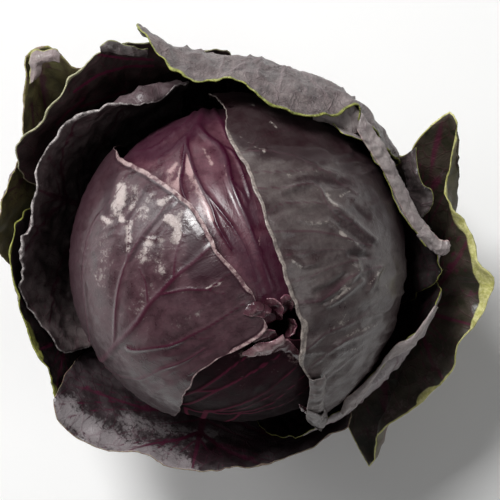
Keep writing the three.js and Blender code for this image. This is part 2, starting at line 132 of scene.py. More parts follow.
# Loose outer leaves, in the order in which they leave the stalk, from the top down
OUTER_LEAVES = [
    {
        "name": "outer_leaf_right_top", "azimuth": 22, "elevation": -14, "foot": 20.0, "middle": 86,
        "ruffle": 0.5, "rim": [
            near(346, 136, 86.5), near(345, 114, 87.5), plan(350, 90, 92), plan(355, 97, 106),
            plan(1, 100, 114, 40), plan(5, 91, 119), plan(11, 85, 122), plan(18, 81, 126),
            plan(26, 81, 129), plan(36, 80, 133), plan(44, 81, 137), plan(51, 78, 142),
            plan(60, 80, 126), plan(66, 85, 96), near(58, 136, 87),
        ],
    },
    {
        "name": "outer_leaf_left", "azimuth": 160, "elevation": -20, "foot": 18.2, "middle": 92,
        "ruffle": 1.2, "rim": [
            near(122, 136, 88.5), plan(107, 86, 82), plan(106, 90, 114), plan(113, 92, 132, 90),
            plan(122, 92, 135, 60), plan(130, 94, 136), plan(136, 98, 136), plan(143, 100, 134),
            plan(150, 100, 132), plan(157, 100, 129), plan(167, 100, 122), plan(175, 101, 118),
            plan(182, 102, 112), plan(188, 102, 106), plan(197, 100, 96), plan(208, 96, 82),
            near(210, 116, 90), near(196, 136, 88.5),
        ],
    },
    {
        "name": "outer_leaf_right_bottom", "azimuth": 312, "elevation": -22, "foot": 16.4,
        "middle": 92, "ruffle": 1.0, "rim": [
            near(278, 136, 89.5), near(278, 114, 89), plan(288, 89, 92), plan(305, 90, 108, 50),
            plan(310, 86, 114, 60), plan(317, 85, 118, 60), plan(326, 86, 120, 50),
            plan(333, 90, 120, 30), plan(342, 94, 118), plan(348, 98, 116), plan(354, 97, 96),
            near(352, 114, 93), near(340, 136, 91),
        ],
    },
    {
        "name": "outer_leaf_top", "azimuth": 76, "elevation": -12, "foot": 14.8, "middle": 96.5,
        "ruffle": 1.0, "bend": 4, "rim": [
            near(40, 136, 93), plan(31, 90, 78), plan(34, 91, 108), plan(38, 89, 122),
            plan(43, 86, 132), plan(49, 87, 138), plan(52, 91, 141), plan(56, 83, 147),
            plan(66, 73, 157), plan(78, 73, 159), plan(88, 82, 156), plan(94, 83, 154),
            plan(101, 81, 151), plan(108, 90, 145), plan(110, 100, 140), plan(113, 121, 128),
            plan(111, 110, 98), near(113, 124, 94),
        ],
    },
    {
        "name": "outer_leaf_bottom", "azimuth": 258, "elevation": -24, "foot": 12.6, "middle": 97,
        "ruffle": 1.2, "rim": [
            near(220, 136, 94), plan(212, 96, 74), plan(217, 109, 92), plan(222, 115, 90),
            plan(231, 114, 88), plan(241, 108, 88), plan(249, 105, 88), plan(258, 104, 88),
            plan(274, 100, 88), plan(290, 96, 90), plan(297, 96, 92), plan(304, 96, 94),
            near(308, 112, 96), near(302, 136, 94.5),
        ],
    },
    {
        "name": "outer_leaf_right", "azimuth": 345, "elevation": -22, "foot": 10.8, "middle": 101,
        "ruffle": 1.4, "rim": [
            near(312, 134, 98), plan(304, 100, 50), plan(303, 126, 54), plan(309, 113, 68),
            plan(317, 112, 74), plan(328, 116, 82), plan(342, 119, 90), plan(346, 120, 92),
            plan(350, 122, 94), plan(356, 126, 98), plan(1, 117, 100), plan(9, 112, 102),
            plan(17, 108, 106), plan(27, 117, 116), plan(32, 125, 124), plan(35, 124, 122),
            plan(34.5, 110, 112), plan(32, 98, 98), plan(33, 92, 70), near(26, 136, 96),
        ],
    },
    {
        "name": "outer_leaf_left_top", "azimuth": 124, "elevation": -18, "foot": 9.0, "middle": 103,
        "ruffle": 1.4, "rim": [
            near(92, 136, 101), near(88, 106, 102.5), plan(96, 103, 98), plan(106, 107, 104),
            plan(113, 112, 110), plan(119, 118, 124), plan(122, 118, 133), plan(126, 116, 136),
            plan(131, 116, 134), plan(139, 112, 132), plan(145, 112, 128), plan(151, 113, 124),
            plan(157, 111, 108), plan(161, 101, 80), near(152, 136, 98.5),
        ],
    },
    {
        "name": "outer_leaf_left_bottom", "azimuth": 204, "elevation": -24, "foot": 7.3,
        "middle": 101, "ruffle": 1.2, "rim": [
            near(171, 136, 98.5), plan(164, 100, 72), plan(168, 107, 98), plan(175, 109, 112),
            plan(186, 107, 112), plan(193, 105, 108), plan(200, 104.3, 104), plan(208, 106, 98),
            plan(216, 109, 90), plan(228, 113, 74), plan(237, 96, 54), near(236, 136, 101),
        ],
    },
    {
        "name": "outer_leaf_far_left", "azimuth": 150, "elevation": -22, "foot": 4.2, "middle": 109,
        "ruffle": 1.4, "rim": [
            near(122, 136, 104), plan(115, 104, 66), plan(119, 113, 96), plan(130, 119, 117),
            plan(131, 133, 124), plan(134.5, 136, 122), plan(138, 130, 120), plan(142, 125, 116),
            plan(152, 117, 112), plan(164, 115, 106), plan(174, 115, 100), plan(181, 113, 80),
            plan(182, 102, 52), near(176, 136, 107),
        ],
    },
]

# Main veins of the head leaves, as pixels of the photograph, each with its width in millimetres
PHOTO_VEINS = {
    "head_leaf_left": [
        (1.7, [(88, 376), (104, 360), (117, 345), (137, 324), (149, 306), (160, 294), (175, 278),
               (188, 267), (200, 257), (214, 244)]),
        (1.0, [(160, 294), (172, 292), (188, 289), (207, 289), (216, 284), (228, 275), (242, 271)]),
        (1.1, [(128, 347), (137, 349), (156, 347), (175, 343), (191, 335), (207, 327), (226, 315),
               (244, 303), (256, 298)]),
        (0.9, [(104, 362), (118, 374), (137, 378), (149, 375), (162, 368), (175, 364), (189, 358),
               (205, 348)]),
        (1.1, [(112, 350), (115, 342), (116, 319), (119, 294), (123, 277), (129, 261), (142, 237),
               (156, 221), (162, 213), (176, 202)]),
        (0.8, [(149, 306), (148, 290), (146, 280), (140, 268)]),
        (0.9, [(175, 278), (176, 262), (179, 249), (188, 230), (204, 217)]),
        (0.9, [(92, 340), (87, 310), (84, 280), (88, 246), (98, 220), (110, 205), (121, 191),
               (132, 172)]),
        (0.6, [(129, 261), (130, 236), (132, 218), (144, 202), (152, 194), (164, 190)]),
        (0.5, [(98, 220), (106, 222), (118, 214), (126, 210)]),
        (0.5, [(207, 289), (222, 293), (236, 290), (250, 283)]),
        (0.5, [(191, 335), (206, 338), (222, 331), (240, 322)]),
        (0.5, [(142, 237), (156, 240), (166, 233), (172, 225)]),
    ],
    "head_leaf_top": [
        (2.6, [(208, 88), (206, 102), (203, 115), (198, 127)]),
        (1.9, [(198, 127), (192, 134), (184, 141), (172, 152), (160, 160)]),
        (1.5, [(188, 137), (186, 150), (184, 168), (182, 186), (188, 204)]),
        (1.3, [(192, 134), (188, 147), (194, 168), (203, 190), (212, 208), (218, 226), (232, 250)]),
        (1.9, [(198, 127), (209, 139), (220, 147), (227, 161), (231, 181), (239, 202), (250, 228),
               (262, 262), (272, 290)]),
        (1.7, [(201, 108), (188, 124), (171, 137), (155, 149), (139, 152), (122, 152)]),
        (1.4, [(206, 100), (214, 112), (222, 124), (228, 140)]),
        (1.1, [(220, 147), (232, 152), (241, 168), (250, 196)]),
        (1.0, [(203, 190), (216, 206), (232, 226), (246, 250), (258, 280)]),
        (1.0, [(231, 181), (240, 190), (247, 205)]),
    ],
    "head_leaf_right": [
        (1.0, [(232, 152), (246, 154), (271, 154), (290, 157), (309, 166), (330, 178), (356, 196)]),
        (0.9, [(254, 174), (272, 174), (290, 173), (309, 172), (332, 175), (352, 184)]),
        (0.9, [(257, 191), (281, 190), (308, 186), (317, 189), (324, 204), (338, 222)]),
        (0.9, [(262, 218), (270, 212), (281, 206), (307, 204), (327, 207), (341, 217), (362, 234)]),
        (1.0, [(270, 233), (290, 233), (309, 232), (332, 235), (348, 240), (372, 246)]),
        (0.9, [(286, 284), (293, 281), (307, 277), (326, 269), (351, 261), (378, 258)]),
        (1.2, [(294, 302), (307, 301), (319, 299), (332, 290), (345, 279), (358, 272), (382, 266)]),
        (1.1, [(299, 352), (312, 342), (324, 333), (342, 325), (358, 317), (378, 300)]),
        (1.1, [(308, 368), (330, 348), (341, 339), (356, 333), (374, 322)]),
        (0.9, [(312, 388), (323, 378), (336, 367), (350, 355), (364, 345)]),
        (0.7, [(246, 154), (256, 142), (272, 134), (292, 132)]),
        (0.7, [(280, 255), (300, 254), (322, 250), (344, 250)]),
    ],
    "head_leaf_bottom": [
        (1.2, [(122, 366), (144, 384), (170, 395), (195, 390), (216, 378), (240, 360), (262, 345)]),
        (1.1, [(158, 390), (174, 400), (190, 402), (212, 392), (238, 379), (262, 366), (284, 350)]),
        (1.2, [(186, 406), (198, 410), (210, 410), (230, 406), (256, 396), (280, 380), (300, 360)]),
        (1.1, [(206, 409), (222, 412), (238, 411), (262, 406), (284, 392), (304, 374)]),
        (1.0, [(240, 412), (254, 411), (272, 406), (292, 398), (310, 383)]),
        (0.9, [(195, 390), (220, 388), (244, 376), (270, 358)]),
        (0.9, [(208, 409), (232, 409), (256, 402), (276, 390)]),
    ],
}

# Venation of the outer leaves, by shares along the rim and along a vein
VEIN_PLACES = [0.17, 0.4, 0.63, 0.86]
MINOR_PLACES = [0.07, 0.285, 0.515, 0.745, 0.93]
FORKS = [(0.22, 0.085), (0.36, -0.07), (0.55, 0.045), (0.66, -0.04)]  # start, and shift at the rim
MIDRIB_WIDTH = (4.2, 1.5)  # at the foot and at the fork
VEIN_WIDTH = (1.7, 0.9)
FORK_WIDTH = (0.8, 0.35)
MINOR_WIDTH = (1.0, 0.35)
TIP_WIDTH = 0.6
VEIN_END = 0.98  # how near the rim the veins run
VEIN_FIELD = 12.0  # furthest distance to a vein that counts
# Heights over the head's centre, as shares of the radius: veins of the photograph are kept above
# the first, and those that start under the second are carried on down
LOWEST_SEEN = 0.2
LOW_START = 0.45


def smooth_path(points, splits=6):
    """A smooth line through the points."""
    p = np.array(points, float)
    p = np.vstack([2 * p[0] - p[1], p, 2 * p[-1] - p[-2]])
    t = np.arange(splits)[:, None] / splits
    spans = []
    for a, b, c, d in zip(p[:-3], p[1:-2], p[2:-1], p[3:]):
        spans.append(0.5 * (2 * b + (c - a) * t + (2 * a - 5 * b + 4 * c - d) * t**2
                            + (3 * b - a - 3 * c + d) * t**3))
    return np.vstack(spans + [p[-2:-1]])


def from_photo(pixels, radius):
    """Where the photograph's pixels lie on a ball of that radius round the head's centre."""
    uv = np.array(pixels, float)
    ray = np.column_stack([(uv[:, 0] - HALF_PHOTO) / FOCAL_PIXELS,
                           (HALF_PHOTO - uv[:, 1]) / FOCAL_PIXELS, -np.ones(len(uv))])
    ray /= np.linalg.norm(ray, axis=1)[:, None]
    eye = np.array([CAMERA_X, CAMERA_Y, CAMERA_HEIGHT - HEAD_HEIGHT])
    nearest = -(ray @ eye)
    inside = nearest**2 - (eye @ eye - radius**2)
    return eye + ray * (nearest - np.sqrt(np.maximum(inside, 0)))[:, None]


def photo_pixels(points):
    """The photograph's pixel of each point, from its place in the frame."""
    depth = (CAMERA_HEIGHT - points[:, 2]) / FOCAL_PIXELS
    return np.column_stack([HALF_PHOTO + (points[:, 0] - CAMERA_X) / depth,
                            HALF_PHOTO - (points[:, 1] - CAMERA_Y) / depth])


def path_distance(places, path):
    """Distance of each place to a line of points, and how far along the line it is, 0 to 1."""
    best = np.full(len(places), 1e9)
    along = np.zeros(len(places))
    for i, (a, b) in enumerate(zip(path[:-1], path[1:])):
        step = b - a
        t = np.clip(((places - a) @ step) / max(step @ step, 1e-9), 0, 1)
        d = np.hypot(*(places - a - t[:, None] * step).T)
        closer = d < best
        best = np.where(closer, d, best)
        along = np.where(closer, (i + t) / (len(path) - 1), along)
    return best, along


STROKE_REACH = 2.2  # half widths after which a stroke has faded away
RIM_HARDNESS = 4


def painted(pixels, strokes, hardness=2):
    """Sum of strokes at the pixels. A stroke is its strength, its half width and its line, and a
    harder one keeps its strength nearer to its edge."""
    total = np.zeros(len(pixels))
    for strength, width, line in strokes:
        line = np.array(line, float)
        reach = STROKE_REACH * width
        some = np.nonzero(np.all((pixels > line.min(axis=0) - reach)
                                 & (pixels < line.max(axis=0) + reach), axis=1))[0]
        if len(some):
            d = path_distance(pixels[some], line)[0]
            total[some] += strength * np.exp(-((d / width) ** hardness))
    return total


class Noise:
    """Smooth noise from -1 to 1 in three dimensions."""

    SIZE = 32

    def __init__(self, seed):
        self.grid = np.random.default_rng(seed).uniform(-1, 1, (self.SIZE,) * 3)

    def at(self, points, wavelength):
        q = np.asarray(points) / wavelength
        low = np.floor(q).astype(int)
        f = q - low
        f = f * f * (3 - 2 * f)
        value = np.zeros(len(q))
        for corner in range(8):
            shift = np.array([corner & 1, corner >> 1 & 1, corner >> 2 & 1])
            i = (low + shift) % self.SIZE
            weight = np.prod(np.where(shift, f, 1 - f), axis=1)
            value += weight * self.grid[i[:, 0], i[:, 1], i[:, 2]]
        return value


crinkles = Noise(3)
fine_noise = Noise(11)


def closed_curve(x, y):
    """A smooth closed curve through rows of bearing and value, with no overshoot between rows."""
    x, y = np.array(x), np.array(y)
    step = np.diff(np.append(x, x[0] + TURN))
    rise = np.diff(np.append(y, y[0])) / step
    before = np.roll(rise, 1)
    same = before * rise > 0
    slope = np.where(same, 2 * before * rise / np.where(same, before + rise, 1), 0)

    def at(bearing):
        bearing = np.asarray(bearing, float)
        i = np.searchsorted(x, bearing, side="right") - 1
        start = np.where(i < 0, bearing + TURN, bearing)
        i = np.where(i < 0, len(x) - 1, i)
        j = (i + 1) % len(x)
        t = (start - x[i]) / step[i]
        t2, t3 = t * t, t * t * t
        return ((2 * t3 - 3 * t2 + 1) * y[i] + (t3 - 2 * t2 + t) * step[i] * slope[i]
                + (3 * t2 - 2 * t3) * y[j] + (t3 - t2) * step[i] * slope[j])

    return at


def unit(v):
    return v / np.maximum(np.linalg.norm(v, axis=-1, keepdims=True), 1e-12)


class Surface:
    """A leaf as a surface. (p, q) is a place on the flat leaf, in radians of arc round the head:
    p runs along the midrib, from the foot at a negative value to the tip, and q to the side."""

    def __init__(self, leaf):
        self.name = leaf["name"]
        az, el = math.radians(leaf["azimuth"]), math.radians(leaf["elevation"])
        self.out = np.array([math.cos(el) * math.cos(az), math.cos(el) * math.sin(az), math.sin(el)])
        self.down = np.array([math.sin(el) * math.cos(az), math.sin(el) * math.sin(az), -math.cos(el)])
        self.side = np.array([-math.sin(az), math.cos(az), 0.0])
        self.phase = az
        self.middle = leaf["middle"]
        self.bend = leaf.get("bend", BEND)
        self.ruffle = leaf["ruffle"]
        foot_out = STALK_RADIUS + STALK_GAP
        foot_drop = HEAD_HEIGHT - leaf["foot"]
        foot_radius = math.hypot(foot_out, foot_drop)
        self.foot_reach = math.pi / 2 + el - math.atan2(foot_out, foot_drop)
        self.foot_bearing = math.atan2(FOOT_HALF_WIDTH / foot_radius, math.sin(self.foot_reach))
        rows = []
        for x, y, z, roll in leaf["rim"]:
            place = np.array([x, y, z])
            bearing, reach = self.polar(place[None])
            rows.append((bearing[0], reach[0], np.linalg.norm(place), roll))
        for bearing in (-self.foot_bearing, self.foot_bearing):
            rows.append((bearing, self.foot_reach, foot_radius, 0.0))
        rows.sort()
        bearings, reaches, radii, rolls = zip(*rows)
        self.smooth_reach = closed_curve(bearings, reaches)
        self.rim_radius = closed_curve(bearings, radii)
        self.roll = closed_curve(bearings, rolls)
        self.tip_reach = float(self.reach(math.pi))

    def reach(self, bearing):
        """How far the rim reaches at a bearing, with the small notches of a grown edge."""
        b = np.asarray(bearing, float).ravel()
        around = np.column_stack([np.cos(b), np.sin(b), 0 * b]) * self.middle
        notches = fine_noise.at(around + self.middle, 8.0) + 0.6 * fine_noise.at(around + 50, 3.1)
        fade = np.minimum(1, np.abs(b) / (FLAT_FOOT * self.foot_bearing)) ** 4
        depth = NOTCHES / self.middle * notches * fade
        return self.smooth_reach(bearing) + depth.reshape(np.shape(bearing))

    def polar(self, places):
        """Bearing and reach of places given from the head's centre."""
        d = unit(places)
        return np.arctan2(d @ self.side, d @ self.down), np.arccos(np.clip(d @ self.out, -1, 1))

    def flat(self, places):
        """Their place on the flat leaf."""
        bearing, reach = self.polar(places)
        return np.column_stack([-reach * np.cos(bearing), reach * np.sin(bearing)])

    def unrolled(self, share, bearing):
        """Places at shares of the reach, with no rolled rim."""
        alpha = share * self.reach(bearing)
        wave = sum(height * np.sin(waves * bearing + (2 * i + 1) * self.phase)
                   for i, (waves, height) in enumerate(RUFFLES))
        fade = np.minimum(1, np.abs(bearing) / (FLAT_FOOT * self.foot_bearing))
        radius = (self.middle + (self.rim_radius(bearing) - self.middle) * share**self.bend
                  + self.ruffle * wave * fade * share**RUFFLE_BEND)
        direction = (np.cos(alpha)[:, None] * self.out
                     + (np.sin(alpha) * np.cos(bearing))[:, None] * self.down
                     + (np.sin(alpha) * np.sin(bearing))[:, None] * self.side)
        return direction * radius[:, None]

    def at(self, flat):
        """Places from the head's centre, with the rolled rims."""
        bearing = np.arctan2(flat[:, 1], -flat[:, 0])
        reach = self.reach(bearing)
        share = np.hypot(flat[:, 0], flat[:, 1]) / reach
        places = self.unrolled(share, bearing)
        turn = self.roll(bearing)
        rolled = (share > ROLL_START) & (np.abs(turn) > 1e-3)
        if rolled.any():
            b, s, turn = bearing[rolled], share[rolled], turn[rolled]
            full = np.full(len(b), ROLL_START)
            start = self.unrolled(full, b)
            along = unit(start - self.unrolled(full - ROLL_PROBE, b))
            across = self.unrolled(full, b + ROLL_PROBE) - self.unrolled(full, b - ROLL_PROBE)
            inward = unit(np.cross(along, across))
            inward *= -np.sign(np.sum(inward * start, axis=1))[:, None]
            length = (s - ROLL_START) * reach[rolled] * np.linalg.norm(start, axis=1)
            angle = turn * (s - ROLL_START) / (1 - ROLL_START)
            places[rolled] = (start + along * (np.sin(angle) / angle * length)[:, None]
                              + inward * ((1 - np.cos(angle)) / angle * length)[:, None])
        return places

    def rim_bearing(self, hand, places):
        """Bearings at shares of the rim's length from the foot's corner to the tip, on one side."""
        b = hand * np.linspace(self.foot_bearing, math.pi, RIM_SAMPLES + 1)
        r = self.reach(b)
        run = np.hypot((r[1:] + r[:-1]) / 2 * np.abs(np.diff(b)), np.diff(r))
        lengths = np.append(0, np.cumsum(run))
        return np.interp(np.asarray(places) * lengths[-1], lengths, b)

    def line(self, hand, places, shares):
        """Places on the flat leaf, at shares of the way from the midrib out to the rim."""
        places, shares = np.broadcast_arrays(np.asarray(places, float), shares)
        root = -self.foot_reach + (self.foot_reach + FORK * self.tip_reach) * places
        bearing = self.rim_bearing(hand, places)
        end = self.reach(bearing)
        p = root + (-end * np.cos(bearing) - root) * shares
        q = end * np.sin(bearing) * shares
        return np.stack([p, q], axis=-1)


def pattern_veins(surface, seed):
    """Veins of an outer leaf: the midrib, side veins that fork, and finer ones between them."""
    draw = np.random.default_rng(seed)
    veins = []
    fork = FORK * surface.tip_reach
    midrib = np.linspace(-surface.foot_reach, fork, 40)
    veins.append((MIDRIB_WIDTH[0], MIDRIB_WIDTH[1], np.column_stack([midrib, 0 * midrib])))
    tip = np.linspace(fork, surface.tip_reach * 0.96, 12)
    veins.append((MIDRIB_WIDTH[1], TIP_WIDTH, np.column_stack([tip, 0 * tip])))
    for hand in (-1, 1):
        for place in VEIN_PLACES:
            t = np.linspace(0, VEIN_END, 20)
            sway = 0.012 * np.sin(t * math.pi * draw.uniform(1, 2))
            veins.append((*VEIN_WIDTH, surface.line(hand, place + sway, t)))
            for start, shift in FORKS:
                start = start + draw.uniform(-0.05, 0.05)
                t = np.linspace(start, VEIN_END, 14)
                gone = (t - start) / (VEIN_END - start)
                way = shift * draw.uniform(0.8, 1.1) * gone**0.75
                veins.append((*FORK_WIDTH, surface.line(hand, place + sway[0] + way, t)))
        for place in MINOR_PLACES:
            t = np.linspace(0, draw.uniform(0.6, 0.95), 14)
            sway = draw.uniform(-0.02, 0.02) * np.sin(t * math.pi)
            veins.append((*MINOR_WIDTH, surface.line(hand, place + sway, t)))
    return veins


def photo_veins(surface, name):
    """Veins of a head leaf, where the photograph shows them. Those that start low on the head
    are carried on down to the foot of the leaf."""
    veins = []
    foot = -surface.foot_reach
    for width, pixels in PHOTO_VEINS[name]:
        places = from_photo(smooth_path(pixels), surface.middle)
        places = places[places[:, 2] > LOWEST_SEEN * surface.middle]
        path = surface.flat(places)
        veins.append((width, width * 0.6, path))
        if places[0, 2] < LOW_START * surface.middle:
            p, q = path[0]
            share = np.linspace(0, 1, 16)
            hidden = np.column_stack([foot + (p - foot) * share, q * share**1.6])
            veins.append((width * 1.5, width, hidden))
    return veins


def vein_field(flat, veins, middle):
    """For places on the flat leaf: how far each is up a vein, from 0 to 1, the width of that vein,
    and the distance to the nearest one."""
    rise = np.zeros(len(flat))
    width_there = np.zeros(len(flat))
    nearest = np.full(len(flat), VEIN_FIELD)
    places = flat * middle
    for first, last, path in veins:
        path = path * middle
        low, high = path.min(axis=0) - VEIN_FIELD, path.max(axis=0) + VEIN_FIELD
        some = np.nonzero(np.all((places > low) & (places < high), axis=1))[0]
        if not len(some):
            continue
        best, along = path_distance(places[some], path)
        width = first + (last - first) * along
        up = np.exp(-((best / width) ** 2))
        more = up * width > rise[some] * width_there[some]
        rise[some] = np.where(more, up, rise[some])
        width_there[some] = np.where(more, width, width_there[some])
        nearest[some] = np.minimum(nearest[some], best)
    return rise, width_there, nearest


def rim_distance(flat, surface, middle):
    """Distance in millimetres to the rim, on the flat leaf."""
    b = np.linspace(surface.foot_bearing, TURN - surface.foot_bearing, EDGE_SAMPLES)
    b = np.where(b > math.pi, b - TURN, b)
    r = surface.reach(b)
    rim = np.column_stack([-r * np.cos(b), r * np.sin(b)]) * middle
    return path_distance(flat * middle, rim)[0]


OTHER_WAY = [0, 3, 2, 1]  # corners of a quad that faces the other way


def grid_quads(ids):
    """The quads between the rows of a grid of point numbers."""
    corners = ids[:-1, :-1], ids[1:, :-1], ids[1:, 1:], ids[:-1, 1:]
    return np.stack([corner.ravel() for corner in corners], 1)


def ring_quads(ids):
    """The quads between rings of point numbers."""
    return grid_quads(np.column_stack([ids, ids[:, 0]]))


class Grid:
    """The lines of one face of a blade, from the midrib out to the rim on both sides."""

    def __init__(self, surface, lines, steps):
        places = np.linspace(0, 1, lines)
        shares = np.linspace(0, 1, steps + 1)
        p = -surface.foot_reach + (surface.foot_reach + FORK * surface.tip_reach) * places
        flats = [np.column_stack([p, 0 * places]), surface.line(1, 1.0, shares[1:])]
        tip_ids = lines + np.arange(steps)
        count = lines + steps
        quads = []
        sides = {}
        for hand in (-1, 1):
            side = surface.line(hand, places[:-1, None], shares[None, 1:])
            flats.append(side.reshape(-1, 2))
            ids = count + np.arange((lines - 1) * steps).reshape(lines - 1, steps)
            count += ids.size
            ids = np.vstack([ids, tip_ids])
            ids = np.column_stack([np.arange(lines), ids])
            sides[hand] = ids
            faces = grid_quads(ids)
            quads.append(faces if hand > 0 else faces[:, OTHER_WAY])
        self.flat = np.vstack(flats)
        self.quads = np.vstack(quads)
        # The boundary as one loop: the foot edge, one side's rim, the tip, the other side's rim
        left, right = sides[-1], sides[1]
        self.foot_edge = np.concatenate([left[0, ::-1], right[0, 1:]])
        self.rim = np.concatenate([right[:, -1], left[-2::-1, -1]])


def normals_of(points, quads):
    """Unit normals at the points of a mesh of quads."""
    diagonal_a = points[quads[:, 2]] - points[quads[:, 0]]
    diagonal_b = points[quads[:, 3]] - points[quads[:, 1]]
    face = np.cross(diagonal_a, diagonal_b)
    total = np.zeros_like(points)
    for k in range(4):
        for axis in range(3):
            total[:, axis] += np.bincount(quads[:, k], face[:, axis], len(points))
    return unit(total)


def zipper(a, b):
    """Triangles between two lines of points that start and end together."""
    s, t = np.linspace(0, 1, len(a)), np.linspace(0, 1, len(b))
    faces = []
    i = j = 0
    while i < len(a) - 1 or j < len(b) - 1:
        if j == len(b) - 1 or (i < len(a) - 1 and s[i + 1] <= t[j + 1] + 1e-9):
            faces.append((a[i], a[i + 1], b[j]))
            i += 1
        else:
            faces.append((a[i], b[j + 1], b[j]))
            j += 1
    return np.array(faces)


def make_mesh(name, points, faces, attributes=None, flat=None):
    """A smooth mesh object from points in millimetres and arrays of faces with 3 or 4 corners."""
    loops = np.concatenate([f.ravel() for f in faces])
    totals = np.concatenate([np.full(len(f), f.shape[1]) for f in faces])
    starts = np.append(0, np.cumsum(totals)[:-1])
    mesh = bpy.data.meshes.new(name)
    mesh.vertices.add(len(points))
    mesh.vertices.foreach_set("co", (points * MM).ravel())
    mesh.loops.add(len(loops))
    mesh.loops.foreach_set("vertex_index", loops)
    mesh.polygons.add(len(totals))
    mesh.polygons.foreach_set("loop_start", starts)
    mesh.polygons.foreach_set("loop_total", totals)
    mesh.polygons.foreach_set("use_smooth", np.ones(len(totals), bool))
    mesh.update(calc_edges=True)
    for key, values in (attributes or {}).items():
        mesh.attributes.new(key, "FLOAT", "POINT").data.foreach_set("value", values)
    if flat is not None:
        layer = mesh.uv_layers.new(name="leaf")
        layer.data.foreach_set("uv", flat[loops].ravel())
    piece = bpy.data.objects.new(name, mesh)
    bpy.context.scene.collection.objects.link(piece)
    return piece


# How each leaf is dressed: lines and steps of its faces, its crinkles and its lip, in millimetres
PLAIN_FORM = {
    "lines": 110, "steps": 44, "inner_steps": 44, "vein_height": 0.8, "groove": 0.35,
    "pucker": 0.5, "crinkle": 0.9, "crinkle_size": 16.0, "frill": 0.8, "frill_size": 9.0,
    "wrinkle": 0.4, "wrinkle_size": 5.0, "lip": 0.3, "rim": 0.35, "shade": 0.0, "veins": 1.0,
}
FORMS = {
    "head_leaf_top": {
        "lines": 150, "steps": 90, "inner_steps": 8, "vein_height": 0.85, "pucker": 0.3,
        "crinkle": 0.12, "frill": 0.0, "wrinkle": 0.35, "lip": 0.0, "rim": 0.3, "shade": 1.0,
    },
    "head_leaf_bottom": {
        "lines": 150, "steps": 90, "inner_steps": 8, "vein_height": 0.45, "pucker": 0.25,
        "crinkle": 0.2, "frill": 0.0, "wrinkle": 0.3, "lip": 0.0, "rim": 0.3, "shade": 1.0,
    },
    "head_leaf_left": {
        "lines": 200, "steps": 130, "inner_steps": 8, "vein_height": 0.62, "pucker": 0.35,
        "crinkle": 0.16, "frill": 0.15, "wrinkle": 0.25, "wrinkle_size": 4.0, "lip": 0.75,
        "rim": 0.12, "shade": 0.9,
    },
    "head_leaf_right": {
        "lines": 200, "steps": 130, "inner_steps": 8, "vein_height": 0.5, "pucker": 0.4,
        "crinkle": 0.32, "crinkle_size": 10.0, "frill": 0.3, "frill_size": 6.0, "wrinkle": 0.9,
        "wrinkle_size": 5.5, "lip": 0.7, "rim": 0.3, "shade": 0.5,
    },
    "outer_leaf_top": {
        "lines": 150, "steps": 76, "crinkle": 1.3, "crinkle_size": 10.0, "pucker": 1.0,
        "wrinkle": 1.5, "wrinkle_size": 6.0,
    },
    "outer_leaf_right_top": {"crinkle": 0.6, "frill": 0.6, "rim": 0.0, "wrinkle": 1.0},
    "outer_leaf_right_bottom": {"rim": 0.0, "wrinkle": 1.0},
    "outer_leaf_bottom": {"rim": 0.15},
    "outer_leaf_left_top": {"lines": 140, "inner_steps": 64, "veins": 0.45},
    "outer_leaf_left": {"crinkle": 1.4, "crinkle_size": 9.0, "wrinkle": 1.4, "lip": 0.6},
}

